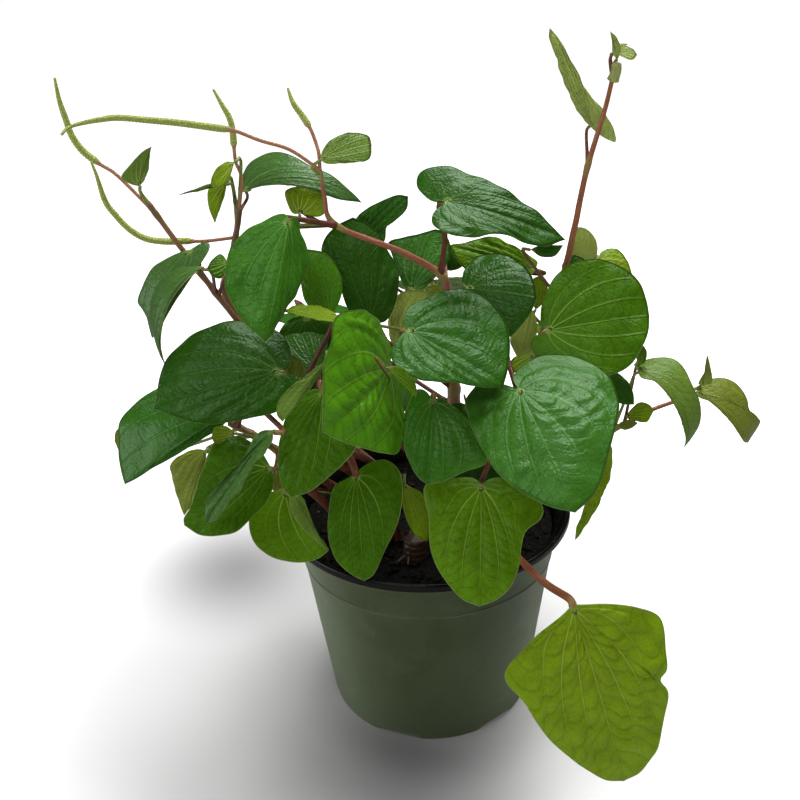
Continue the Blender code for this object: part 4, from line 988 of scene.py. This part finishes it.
def pot_materials():
    """Olive wall and black lip of moulded plastic, with a painted sheen that lightens the wall
    towards its outline.
    """
    settings = bpy.context.scene.peperomia_pot
    finishes = []
    for name, (body, rough, dusty, shine) in PLASTICS.items():
        made, n, sockets = new_material(name, rough, Specular_IOR_Level=shine)
        dust, scuff, fine = n.group("dust")
        light = n.lay((*getattr(settings, body), 1.0), (dust, dusty, DUST),
                      (scuff, dusty * 0.7, SCUFF))
        if name == "pot wall":
            # Painted sheen: the wall's colour turns lighter where it faces away from the view,
            # towards its outline.
            sheen_slant = n.add("ShaderNodeLayerWeight").outputs["Facing"]
            light = n.mix(n.fade(sheen_slant, 0.35, 1.0, 0.0, 0.75), light, WALL_EDGE_SHEEN)
        n.feed(sockets["Base Color"], light)
        n.feed(sockets["Roughness"], n.sum("ADD", n.times(dust, 0.18), rough - 0.05))
        n.feed(sockets["Normal"], n.bump(fine, 0.0001, 0.5))
        finishes.append(made)
    return finishes


def soil_materials():
    """Moist potting mix, then the bark, fibre and grit lying on it."""
    looks = {"soil": (*bpy.context.scene.peperomia_pot.soil, 1.0)}
    looks.update((name, tint(*screen)) for name, screen in LITTER.items())
    finishes = []
    for name, body in looks.items():
        made, n, sockets = new_material(name, 0.85, Specular_IOR_Level=0.2)
        crumbs = n.noise(420.0, 6.0, 0.7, n.object_place())
        light = n.mix(n.fade(crumbs, 0.3, 0.7), shade(body, 0.4), body)
        n.feed(sockets["Base Color"], light)
        n.feed(sockets["Roughness"], n.fade(crumbs, 0.35, 0.65, 0.95, 0.55))
        n.feed(sockets["Normal"], n.bump(crumbs, 0.001, 0.9))
        finishes.append(made)
    return finishes


# ---- pot and soil ----------------------------------------------------------------------

# The pot's wall, turned round its axis: radius and height from the centre of the underside,
# up the outside, over the lip and down the inside.
POT_WALL = [(18, 0), (20, 4), (47.4, 4), (48.9, 0.2), (49.3, 0), (53.9, 0), (54.6, 0.3),
            (54.95, 1.0), (55.4, 4.0), (55.7, 4.6), (66.75, 88.3), (66.95, 88.9), (67.35, 89.3),
            (67.4, 89.6), (67.1, 90.2), (67.15, 91), (68.9, 103), (69.3, 105.4), (70.3, 107.6),
            (72.3, 109.9), (72.9, 110.4), (73.6, 110.75), (75.4, 110.8)]
POT_LIP = [(75.85, 110.95), (76, 111.4), (76, 113.9), (75.8, 114.5), (75.2, 114.8), (74.3, 114.8),
           (73.7, 114.5), (73.3, 113.9)]
POT_INSIDE = [(72.2, 111.6), (71.0, 110.6), (68.9, 107.4), (68.2, 106), (67.6, 103), (65.7, 89.5),
              (54.1, 5.8), (53.8, 5.5), (20, 5.5)]
LIP_STARTS_BEFORE = 3                           # rings of the wall that have the lip's colour
POT_FLOOR = 5.5
NOTCHES = 6
NOTCH_FIRST = -112.0
NOTCH_HALF_ANGLE = 13.0
NOTCH_HEIGHT = 3.0
FOOT_RADIUS, FOOT_HEIGHT = 48, 4                # the notches cut only what is past these

SOIL_SIDES = 144
SOIL_RINGS = 46
SOIL_RADIUS = 66.9
SOIL_BLOCK = ((53.0, 6.0), (66.6, 99.5))        # radius and height of the block's lower rings
LITTER_RADIUS = 64.5
LITTER_SEED = 7
SOIL_SLOT, CHIP_SLOT, FIBRE_SLOT, GRIT_SLOT, STRAW_SLOT = range(5)
STRAWS = [[(-11, -44, 105.2), (-10, -38, 109), (-9, -33, 118)],
          [(-16, -42, 105.6), (-12, -39, 107.5), (-6, -36, 108)]]


def soil_height(x, y):
    """The lumpy top of the soil."""
    radius = np.hypot(x, y)
    mound = 2.0 * np.cos(np.minimum(1.0, radius / 66) * pi / 2)
    lumps = 0.9 * np.sin(0.21 * x + 1.3) * np.cos(0.19 * y) + 0.5 * np.sin(0.43 * y + 0.2 * x)
    return SOIL_LEVEL + mound + lumps


class PEPEROMIA_OT_pot(bpy.types.Operator):
    """Turn the nursery pot with its lip, raised line and notched foot"""
    bl_idname = "peperomia.pot"
    bl_label = "Pot"

    def execute(self, context):
        turn = circle(context.scene.peperomia_pot.sides)
        apart = 360 / NOTCHES
        off = (np.degrees(turn) - NOTCH_FIRST + apart / 2) % apart - apart / 2
        arch = NOTCH_HEIGHT * np.sqrt(np.clip(1 - (off / NOTCH_HALF_ANGLE) ** 2, 0, 1))
        shell, rows = Shell(), []
        profile = POT_WALL + POT_LIP + POT_INSIDE
        run = run_of(np.array(profile, float))
        for (radius, height), along in zip(profile, run / run[-1]):
            level = np.full(len(turn), float(height))
            if radius > FOOT_RADIUS and height < FOOT_HEIGHT:
                level = np.maximum(level, arch)
            ring = np.column_stack([radius * np.cos(turn), radius * np.sin(turn), level])
            bake = np.column_stack([bake_range(np.abs(turn / pi - 1)), np.full(len(turn), along)])
            rows.append(shell.points(ring, OFBake=bake))
        wall = len(POT_WALL) - LIP_STARTS_BEFORE
        lip = len(POT_WALL) + len(POT_LIP)
        for i, (low, high) in enumerate(zip(rows, rows[1:])):
            shell.band(low, high, 0 if i < wall else 1 if i < lip else 2)
        under, inside = shell.points([(0, 0, 0), (0, 0, POT_FLOOR)])
        shell.fan(rows[0], under, 0, inward=True)
        shell.fan(rows[-1], inside, 2)
        pot = shell.finish("pot_body", pot_materials(), "pot")
        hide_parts("pot")
        return {"FINISHED"}


class PEPEROMIA_OT_soil(bpy.types.Operator):
    """Fill the pot with lumpy potting mix, with bark, fibre and grit on top"""
    bl_idname = "peperomia.soil"
    bl_label = "Soil"

    def execute(self, context):
        finishes = soil_materials()
        shell, turn, rows = Shell(), circle(SOIL_SIDES), []
        for radius, level in SOIL_BLOCK:
            rows.append(shell.points(np.column_stack(
                [radius * np.cos(turn), radius * np.sin(turn), np.full(len(turn), level)])))
        for share in np.linspace(1, 0.02, SOIL_RINGS):
            x, y = SOIL_RADIUS * share * np.cos(turn), SOIL_RADIUS * share * np.sin(turn)
            level = (soil_height(x, y) + 0.7 * ripple(x * 3.1, y * 3.1, 2.0)
                     + 0.35 * ripple(x * 8, y * 8, 5))
            rows.append(shell.points(np.column_stack([x, y, level])))
        shell.bands(rows)
        shell.face(rows[0][::-1])
        shell.face(rows[-1])
        soil = shell.finish("soil_block", finishes[:1], "soil")
        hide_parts("soil")
        self.scatter(context.scene.peperomia_pot.bits, finishes)
        return {"FINISHED"}

    def scatter(self, count, finishes):
        """Crumbs, bark chips, fibres and a few grains, strewn over the soil."""
        chance = np.random.default_rng(LITTER_SEED)
        shell = Shell()
        for _ in range(count):
            radius, angle = LITTER_RADIUS * sqrt(chance.random()), chance.random() * 2 * pi
            x, y = radius * cos(angle), radius * sin(angle)
            z = float(soil_height(x, y))
            pick = chance.random()
            if pick < 0.22:
                self.fibre(shell, chance, (x, y, z + 0.4), 2 + 9 * chance.random() ** 2)
                continue
            slot = SOIL_SLOT if pick < 0.7 else CHIP_SLOT if pick < 0.985 else GRIT_SLOT
            least, more = (0.8, 2.2) if slot == CHIP_SLOT else (0.5, 1.5)
            size = least + more * chance.random() ** 2
            self.crumb(shell, chance, (x, y, z + size * 0.2), size, slot)
        for points in STRAWS:
            path = smooth_route(points, 1.5)
            shell.tube(path, np.full(len(path), 0.45), 6, STRAW_SLOT)
        shell.finish("soil_litter", finishes, "soil")

    def crumb(self, shell, chance, centre, size, slot):
        """One angular piece: a squashed, uneven ball."""
        sides = 7
        stretch = np.array([1, 0.55 + 0.5 * chance.random(), 0.35 + 0.4 * chance.random()]) * size
        spin = (Matrix.Rotation(chance.random() * 2 * pi, 3, "Z")
                @ Matrix.Rotation(chance.random() - 0.5, 3, "X"))
        spin = np.array(spin).T
        rows = []
        for level in (-0.6, 0.0, 0.6):
            reach = sqrt(1 - level * level)
            ring = [(reach * cos(2 * pi * k / sides), reach * sin(2 * pi * k / sides), level)
                    for k in range(sides)]
            ring = np.array(ring) * stretch * (0.75 + 0.5 * chance.random((sides, 1)))
            rows.append(shell.points(ring @ spin + centre))
        poles = np.array([(0, 0, -1), (0, 0, 1)]) * stretch @ spin + centre
        bottom, top = shell.points(poles)
        shell.bands(rows, slot)
        shell.fan(rows[0], bottom, slot, inward=True)
        shell.fan(rows[-1], top, slot)

    def fibre(self, shell, chance, start, length):
        """One thin curved root or coir fibre."""
        angle = chance.random() * 2 * pi
        way = np.array((cos(angle), sin(angle), 0))
        across = np.array((-sin(angle), cos(angle), 0))
        bend = (chance.random() - 0.5) * length * 0.5
        start = np.array(start)
        path = smooth_route([start - way * length / 2, start + across * bend + (0, 0, 0.8),
                             start + way * length / 2 + (0, 0, -0.3)], 1.6)
        radii = np.linspace(0.22, 0.1, len(path)) * (1 + chance.random())
        shell.tube(path, radii, 5, FIBRE_SLOT)


# ---- stems -----------------------------------------------------------------------------

STEM_SLIMNESS = 0.87                            # bark radius as a share of the stem's own
NODE_SWELL, NODE_REACH = 0.28, 3.2
STUMP_FACETS = 28
TWIG_FACETS = 10


def stem_path(name, step=2.0):
    """The whole course of a stem and its radius, with a swelling where each leaf leaves it."""
    points, thick, thin = STEMS[name]
    x, y = points[0]
    rise = smooth_route([(x, y, SOIL_CLEAR)] + points[1:], step)
    foot = [(x, y, z) for z in np.arange(SOIL_LEVEL - ROOT_DEPTH + 1, SOIL_CLEAR - 1, step)]
    path = np.vstack([foot, rise])
    radii = STEM_SLIMNESS * np.interp(path[:, 2], [SOIL_CLEAR, path[-1][2]], [thick, thin])
    heights = [leaf["height"] for leaf in LEAVES.values() if leaf["stem"] == name]
    heights += [height for stem, height, _, _ in SPIKES.values() if stem == name]
    near = np.full(len(path), 30.0)
    for height in heights:
        near = np.minimum(near, np.linalg.norm(path - path[place_at(path, height)], axis=1))
    radii = radii * (1 + NODE_SWELL * np.exp(-(near / NODE_REACH) ** 2))
    return path, radii, near


def place_at(path, height):
    """The number of the first point of a stem that is as high as this."""
    return min(int(np.searchsorted(path[:, 2], height)), len(path) - 1)


def stem_point(name, height):
    path, radii, _ = stem_path(name)
    at = place_at(path, height)
    return path[at], radii[at]


class PEPEROMIA_OT_stems(bpy.types.Operator):
    """Grow the stems and the ringed stump out of the soil"""
    bl_idname = "peperomia.stems"
    bl_label = "Stems"

    def execute(self, context):
        facets = context.scene.peperomia_stems.facets
        for name in STEMS:
            path, radii, near = stem_path(name)
            shell = Shell()
            shell.tube(path, radii, facets, edge=np.column_stack([near, run_of(path) / 100]),
                       wobble=lambda along, turn: 1 + 0.03 * np.sin(3 * turn + along * 0.35)
                       + 0.02 * np.sin(along * 0.9 + 2 * turn))
            bark = stem_material(STEM_BARKS.get(name, "red"))
            piece = shell.finish("grown_" + name, [bark], "stem")
            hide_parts(name)
        self.stump()
        self.twigs()
        return {"FINISHED"}

    def twigs(self):
        """Bare stalks and shoots that end out of sight behind the leaves."""
        kinds = sorted({kind for kind, _, _ in TWIGS})
        shell = Shell()
        for kind, radius, points in TWIGS:
            path = smooth_route(points, 2.0)
            run = run_of(path)
            edge = np.column_stack([np.full(len(path), 20.0), run / 100])
            radii = radius * np.interp(run / run[-1], [0, 0.1, 1], [1.1, 1, 0.85])
            shell.tube(path, radii, TWIG_FACETS, kinds.index(kind), edge=edge)
        shell.finish("twigs", [stem_material(kind) for kind in kinds], "stem")

    def stump(self):
        """The ringed, cut base of an old stem."""
        x, y = STUMP_PLACE
        levels = np.arange(SOIL_LEVEL - ROOT_DEPTH + 1, STUMP_TOP - 0.3, 0.45)
        rings = 1 - 0.11 * np.clip(np.cos((levels - 104) * 2 * pi / 3.1), 0, 1) ** 3
        radii = STUMP_RADIUS * np.interp(levels, [103, 115.2, 115.9], [1.0, 0.86, 0.6]) * rings
        shell = Shell()
        shell.tube([(x, y, z) for z in levels], radii, STUMP_FACETS,
                   wobble=lambda along, turn: 1 + 0.05 * np.sin(5 * turn + along)
                   + 0.03 * np.sin(9 * turn - along * 1.3))
        piece = shell.finish("old_stump", [stem_material("dark")], "bark")
        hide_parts("stem_stump")


# ---- leaves ----------------------------------------------------------------------------

VEIN_STARTS = (0.0, 0.26, 0.53, 0.79, 1.0)      # where main veins leave, from notch to tip
VEIN_PULL, VEIN_PULL_RISE = 0.56, 1.4           # how far main veins bend towards the tip
STALK_FACETS = 10
STALK_BAKE = (0.965, 0.995)                     # the strip of the baking map for the stalk
SKIN_BAKE = 0.48                                # how far apart the two skins are on that map
HUB_VEINS = (4, 0)                              # the midrib's place on the vein map
SEED_STEP = 0.7


def span(leaf):
    """A leaf's length from the stalk to the tip."""
    return np.linalg.norm(np.subtract(leaf["tip"], leaf["base"]))


def leaf_frame(leaf):
    """Forward, left and upward directions of a leaf."""
    forward = unit(np.subtract(leaf["tip"], leaf["base"]))
    up = np.asarray(leaf["face"], float)
    up = unit(up - forward * up.dot(forward))
    return forward, np.cross(up, forward), up


def blade_surface(flat, leaf):
    """Bend, fold and curl flat points (length along, across) into a leaf's middle surface."""
    forward, left, up = leaf_frame(leaf)
    base = np.asarray(leaf["base"], float)
    arc = radians(leaf["bend"])
    radius = span(leaf) / (2 * sin(arc / 2))
    x, y = flat[..., 0:1], flat[..., 1:2]
    turn = arc * (0.5 - x)
    middle = (base + forward * radius * (sin(arc / 2) - np.sin(turn))
              + up * radius * (np.cos(turn) - cos(arc / 2)))
    normal = up * np.cos(turn) - forward * np.sin(turn)
    curl = np.where(y > 0, leaf["curl"][0], leaf["curl"][1])
    lean_out = np.radians(leaf["fold"] + curl * np.abs(y))
    reach = np.abs(y) * leaf["width"]
    return (middle + left * reach * np.cos(lean_out) * np.sign(y)
            + normal * reach * np.sin(lean_out))


def half_margin(leaf, side, count):
    """One half of the flat margin, from the notch to the tip, in even steps."""
    if side in leaf:
        half = [(x / 100, y / 100) for x, y in leaf[side][::-1]]
    else:
        half = HALF_OUTLINE + [(x + share * leaf["lobe"], y) for x, y, share in LOBE_OUTLINE]
        half = [(x, y * (1 - TAPER * max(x, 0))) for x, y in half]
    aspect = np.array([1.0, leaf["width"] / span(leaf)])
    line = smooth_route(np.array([(1, 0), *half, (NOTCH, 0)]) * aspect, 0.01)[::-1]
    line = even_steps(line, count + 1) / aspect
    return line if side == "left" else line * (1, -1)


def margin_line(leaf, count):
    """The flat margin from the notch up the left side, over the tip and back, and its share."""
    left, right = (half_margin(leaf, side, count) for side in ("left", "right"))
    share = np.linspace(0, 1, count + 1)
    return np.vstack([left, right[1:-1][::-1]]), np.concatenate([share, share[1:-1][::-1]])


def blade_relief(leaf, place, share, ring, veins, settings, seed):
    """How far each point of the blade stands above or below its middle surface."""
    size = min(1.0, span(leaf) / 45)
    x, y = place[..., 0], place[..., 1]
    far = np.hypot(x, y)
    open_up = np.clip((far - 4) / 12, 0, 1)
    edge_off = np.clip((1 - ring) / 0.16, 0, 1) ** 0.6
    a, b = veins[..., 0], veins[..., 1]
    between = np.abs(np.sin(pi * a))
    cell = np.abs(np.sin(pi * b)) ** 0.8 * (0.35 + 0.65 * between ** 0.7)
    cell *= 0.7 + 0.7 * ripple(x * 0.6, y * 0.6, seed + 5)
    panel = between ** 0.9 * np.clip(far / 9, 0, 1) * (1.05 - 0.75 * ring)
    lift = size * leaf["quilt"] * edge_off * (
        settings.quilt * open_up * (cell - 0.4) + settings.groove * panel)
    waves = (np.sin(2 * pi * (3.2 * share + 0.13 * seed))
             + 0.6 * np.sin(2 * pi * (7.1 * share + 0.37 * seed)))
    wave = settings.wave * size * leaf["wave"] * ring ** 3 * waves * 0.7 * np.sin(pi * share) ** 0.5
    return lift + wave + 0.8 * size * leaf["wave"] * ripple(x * 0.5, y * 0.5, seed + 3) * ring


def blade_shell(shell, leaf, seed):
    """Both skins of one blade, with the maps that carry its veins, place and margin."""
    settings = bpy.context.scene.peperomia_leaves
    length = span(leaf)
    big = max(length, leaf["width"])
    rings = int(np.clip(big * 0.52, 8, 42))
    rim, share = margin_line(leaf, int(np.clip(big * 1.05, 16, 80)))
    spokes = len(rim)
    ring = np.linspace(0, 1, rings + 1)[1:, None]
    flat = rim[None] * ring[..., None]
    place = flat * (length, leaf["width"])
    share = np.broadcast_to(share[None], flat.shape[:2])
    ring = np.broadcast_to(ring, flat.shape[:2])
    pull = VEIN_PULL * ring ** VEIN_PULL_RISE
    a = np.interp((share - pull) / (1 - pull), VEIN_STARTS, range(len(VEIN_STARTS)))
    b = (np.hypot(place[..., 0], place[..., 1]) / max(3.0, big / 11.5)
         - 1.1 * (4 - a) - 0.5 * np.abs(a - np.round(a)))
    b = b + 0.42 * ripple(place[..., 0] * 0.7, place[..., 1] * 0.7, seed)
    veins = np.stack([a, b], axis=-1)
    middle = blade_surface(flat, leaf)
    centre = blade_surface(np.zeros((1, 2)), leaf)[0]
    inner = np.concatenate([np.broadcast_to(centre, middle[:1].shape), middle[:-1]])
    normals = np.cross(middle - inner, np.roll(middle, -1, axis=1) - np.roll(middle, 1, axis=1))
    normals /= np.linalg.norm(normals, axis=-1, keepdims=True)
    normals[0] = unit(normals[0].sum(axis=0))
    if normals[0, 0].dot(leaf_frame(leaf)[2]) < 0:
        normals = -normals
    lift = blade_relief(leaf, place, share, ring, veins, settings, seed)
    half = (settings.thickness / 2 * min(1.0, 0.5 + length / 90)
            * np.sqrt(np.clip(1 - ring ** 10, 0, 1)))
    reach = np.linalg.norm(place[-1], axis=-1)
    edge = np.stack([(1 - ring) * reach[None], ring], axis=-1)
    low, high = place[-1].min(axis=0), place[-1].max(axis=0)
    rims = []
    for skin, sign in ((0, 1), (1, -1)):
        def bake(at):
            at = (at - low) / (high - low)
            return np.stack([0.01 + 0.46 * at[..., 1] + SKIN_BAKE * skin, bake_range(at[..., 0])],
                            axis=-1)

        numbers = shell.points(middle + normals * (lift + sign * half)[..., None],
                               place=place / 100, veins=veins, edge=edge, OFBake=bake(place))
        hub, = shell.points(centre + normals[0, 0] * sign * half[0, 0], veins=[HUB_VEINS],
                            edge=[(reach.min(), 0)], OFBake=[bake(np.zeros(2))])
        rows = [numbers[r * spokes:(r + 1) * spokes][::sign] for r in range(rings)]
        for inner_row, outer_row in zip(rows, rows[1:]):
            shell.band(outer_row, inner_row, skin)
        shell.fan(rows[0], hub, skin, inward=True)
        rims.append(rows[-1][::sign])
    shell.band(rims[1], rims[0], 1)


def stalk_path(leaf):
    """The course of a leaf's stalk, from inside its stem into the notch of its blade."""
    forward, _, up = leaf_frame(leaf)
    rise = radians(leaf["bend"]) / 2
    along, normal = forward * cos(rise) + up * sin(rise), up * cos(rise) - forward * sin(rise)
    base = np.asarray(leaf["base"], float)
    route = [*leaf["route"], base - (along * 0.7 + normal * 0.7) * 6]
    start, radius = stem_point(leaf["stem"], leaf["height"])
    return smooth_route([start + unit(np.subtract(route[0], start)) * radius * 0.5, *route,
                         base - along * 0.7 - normal * 0.7], 2.0)


class PEPEROMIA_OT_leaves(bpy.types.Operator):
    """Grow every leaf with its veins, quilting, wavy margin and stalk"""
    bl_idname = "peperomia.leaves"
    bl_label = "Leaves"

    def execute(self, context):
        for number, (name, row) in enumerate((LEAVES | SMALL_LEAVES).items()):
            leaf = LEAF_HABIT | (SMALL_HABIT if name in SMALL_LEAVES else {}) | row
            tone = leaf["tone"]
            shell = Shell()
            blade_shell(shell, leaf, number * SEED_STEP)
            path = stalk_path(leaf)
            run = run_of(path)
            radius = leaf.get("stalk", STALK_RADIUS * (1.0 if leaf["width"] > 24 else 0.6))
            radii = radius * np.interp(run, [0, 3, 7, run[-1] - 5, run[-1]],
                                       [1.5, 1.25, 1, 0.95, 1.0])
            shell.tube(path, radii, STALK_FACETS, 2, bake=STALK_BAKE,
                       edge=np.column_stack([run[-1] - run, run / 100]))
            bark = leaf.get("bark", "green" if tone in GREEN_STALKS else "red")
            finishes = [leaf_material(tone), underside_material(tone), stem_material(bark)]
            piece = shell.finish("grown_" + name, finishes, TONES[tone][0])
            if name in LEAVES:
                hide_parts(name)
        return {"FINISHED"}


# ---- flower spikes ---------------------------------------------------------------------

class PEPEROMIA_OT_spikes(bpy.types.Operator):
    """Grow the flower spikes, each a bare stalk and a tapering rod of tiny flowers"""
    bl_idname = "peperomia.spikes"
    bl_label = "Flower Spikes"

    def execute(self, context):
        finish = spike_material()
        for name, (stem, height, points, bare) in SPIKES.items():
            start, _ = stem_point(stem, height)
            path = smooth_route([start, *points], 0.7)
            run = np.linspace(0, 1, len(path))
            split = bare / len(points)
            radii = np.interp(run, [0, split, split + 0.04, 0.8, 1],
                              [SPIKE_STALK_RADIUS, SPIKE_STALK_RADIUS, SPIKE_RADIUS,
                               SPIKE_RADIUS * 0.8, SPIKE_TIP_RADIUS])
            flower = np.clip((run - split) / 0.05, 0, 1)
            shares = {round(v, 4): share for v, share in zip(run_of(path), flower)}

            def beads(along, turn):
                return 1 + shares[round(along, 4)] * 0.16 * np.sin(4 * turn + along * 2.2) * np.sin(
                    4 * turn - along * 2.2)

            shell = Shell()
            shell.tube(path, radii, 16, edge=np.column_stack([flower, run]), wobble=beads)
            piece = shell.finish("grown_" + name, [finish], "flower_spike")
            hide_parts(name)
        return {"FINISHED"}


# ---- stage -----------------------------------------------------------------------------

CAMERA_PLACE = (-11.8, -459.0, 393.0)
CAMERA_AIM = (-11.8, 0.0, 175.1)
CAMERA_ROLL = -2.24
LENS, SENSOR = 45, 36
LAMP_AIM = (0, 0, 160)
FLOOR_REACH = 6.0                               # metres from the middle to each edge
FLOOR_IN_GLOSS = tint(150, 150, 150)            # the floor as glossy leaves show it

# Each lamp: the setting and the share of it that is its power, place, size, and whether
# glossy leaves show it.
LAMPS = {
    "key soft": ("key", 0.35, (220, 320, 1130), 780, False),
    "key": ("key", 0.65, (200, 300, 1100), 620, True),
    "front": ("front", 1.0, (-260, -520, 900), 300, True),
    "side": ("side", 1.0, (-1000, -150, 380), 600, True),
    "fill": ("fill", 1.0, (150, -1100, 240), 900, False),
}

# Shade painted on the floor paper: its middle, then in metres where it starts and stops to
# fade, and its depth.
POT_SHADE = ((6, -10), 0.052, 0.085, 0.25)
FRONT_SHADE = ((-12, -92), 0.0, 0.1, 0.8)
BEHIND_SHADE = ((-126, 110), 0.0, 0.085, 0.6)
GLOW_FROM, GLOW_NEAR, GLOW_FAR = (-60, 40), 0.07, 0.42


class PEPEROMIA_OT_stage(bpy.types.Operator):
    """Set the pale floor, the soft lamps and the camera"""
    bl_idname = "peperomia.stage"
    bl_label = "Stage"

    def execute(self, context):
        settings = context.scene.peperomia_stage
        self.floor(settings)
        self.sky(settings)
        for name, (setting, share, place, size, glossy) in LAMPS.items():
            lamp = self.lamp(name, getattr(settings, setting) * share, place, size)
            lamp.visible_glossy = glossy
        self.camera(context.scene)
        return {"FINISHED"}

    def floor(self, settings):
        """Paper that keeps the plant's shadow, with shade painted round the pot, in front of it and
        behind it, and goes to white further off.
        """
        mesh = bpy.data.meshes.new("floor")
        mesh.from_pydata([(x * FLOOR_REACH, y * FLOOR_REACH, 0)
                          for x, y in ((-1, -1), (1, -1), (1, 1), (-1, 1))], [], [(0, 1, 2, 3)])
        made, n, sockets = new_material("floor paper", 0.9)
        nodes = made.node_tree.nodes
        path = n.add("ShaderNodeLightPath")
        # Painted shade: the paper is darkened round the pot, in front of it and behind it on the
        # left.
        dim = n.sum("ADD", self.shade(n, *POT_SHADE), self.shade(n, *FRONT_SHADE))
        dim = n.sum("MAXIMUM", dim, self.shade(n, *BEHIND_SHADE), clamp=True)
        paper = n.mix(dim, (*settings.floor, 1.0), (0, 0, 0, 1))
        n.feed(sockets["Base Color"], n.mix(path.outputs["Is Glossy Ray"], paper, FLOOR_IN_GLOSS))
        # The camera's glow on the floor is left out near the plant, where the floor shows its real
        # shadow, and at the painted shade behind it.
        away = n.times(n.fade(self.distance(n, GLOW_FROM), GLOW_NEAR, GLOW_FAR),
                       n.fade(self.distance(n, BEHIND_SHADE[0]), 0.01, 0.1))
        glow = n.add("ShaderNodeEmission")
        n.feed(glow.inputs["Strength"], n.times(path.outputs["Is Camera Ray"], away))
        both = n.add("ShaderNodeAddShader")
        n.feed_all(both.inputs, (nodes["Principled BSDF"].outputs[0], glow.outputs[0]))
        n.feed(nodes["Material Output"].inputs["Surface"], both.outputs[0])
        mesh.materials.append(made)
        floor = bpy.data.objects.new("floor", mesh)
        bpy.context.scene.collection.objects.link(floor)

    def distance(self, n, middle):
        """How far each place on the floor is from one point on it, in metres."""
        away = n.add("ShaderNodeVectorMath", operation="DISTANCE")
        n.feed(away.inputs[0], n.object_place())
        away.inputs[1].default_value = (middle[0] * MM, middle[1] * MM, 0)
        return away.outputs["Value"]

    def shade(self, n, middle, near, far, depth):
        return n.fade(self.distance(n, middle), near, far, depth, 0.0)

    def sky(self, settings):
        """A dim, even sky that looks white from the camera."""
        world = bpy.data.worlds.new("studio")
        bpy.context.scene.world = world
        world.use_nodes = True
        n = Nodes(world.node_tree)
        path = n.add("ShaderNodeLightPath")
        sockets = world.node_tree.nodes["Background"].inputs
        sockets["Color"].default_value = (1, 1, 1, 1)
        dim = n.fade(path.outputs["Is Glossy Ray"], 0.0, 1.0, settings.sky, settings.sky * 0.3)
        n.feed(sockets["Strength"], n.sum("MAXIMUM", path.outputs["Is Camera Ray"], dim))

    def place_object(self, name, data, place, aim, roll=0.0):
        """Put a lamp or a camera at a place, looking at another."""
        holder = bpy.data.objects.new(name, data)
        place, aim = Vector(place) * MM, Vector(aim) * MM
        look = (aim - place).to_track_quat("-Z", "Y").to_matrix()
        look = look @ Matrix.Rotation(radians(roll), 3, "Z")
        holder.matrix_world = Matrix.Translation(place) @ look.to_4x4()
        bpy.context.scene.collection.objects.link(holder)
        return holder

    def lamp(self, name, power, place, size):
        light = bpy.data.lights.new(name, "AREA")
        light.energy = power
        light.size = size * MM
        return self.place_object(name, light, place, LAMP_AIM)

    def camera(self, scene):
        lens = bpy.data.cameras.new("camera")
        lens.lens = LENS
        lens.sensor_width = SENSOR
        lens.clip_start = 0.01
        scene.camera = self.place_object("camera", lens, CAMERA_PLACE, CAMERA_AIM, CAMERA_ROLL)


# ---- add-on ----------------------------------------------------------------------------

class PEPEROMIA_PT_plant(bpy.types.Panel):
    """The plant's parts and their settings"""
    bl_label = "Potted Peperomia"
    bl_idname = "PEPEROMIA_PT_plant"
    bl_space_type = "VIEW_3D"
    bl_region_type = "UI"
    bl_category = "Plant"

    def draw(self, context):
        for name, settings in SETTINGS.items():
            box = self.layout.box()
            for key in settings.__annotations__:
                box.prop(getattr(context.scene, name), key)
        for operator in OPERATORS:
            self.layout.operator(operator.bl_idname)


SETTINGS = {"peperomia_pot": PotSettings, "peperomia_leaves": LeafSettings,
            "peperomia_stems": StemSettings, "peperomia_stage": StageSettings}
OPERATORS = (PEPEROMIA_OT_pot, PEPEROMIA_OT_soil, PEPEROMIA_OT_stems, PEPEROMIA_OT_leaves,
             PEPEROMIA_OT_spikes, PEPEROMIA_OT_stage)


def register():
    for name, settings in SETTINGS.items():
        bpy.utils.register_class(settings)
        setattr(bpy.types.Scene, name, PointerProperty(type=settings))
    for kind in (*OPERATORS, PEPEROMIA_PT_plant):
        bpy.utils.register_class(kind)


def unregister():
    for kind in (PEPEROMIA_PT_plant, *reversed(OPERATORS)):
        bpy.utils.unregister_class(kind)
    for name, settings in SETTINGS.items():
        delattr(bpy.types.Scene, name)
        bpy.utils.unregister_class(settings)


def main():
    register()
    bpy.context.scene.view_settings.view_transform = "Standard"
    make_leaf_groups()
    make_grain_groups()
    plant = bpy.ops.peperomia
    for build in (plant.pot, plant.soil, plant.stems, plant.leaves, plant.spikes, plant.stage):
        build()
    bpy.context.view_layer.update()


if __name__ == "__main__":
    main()
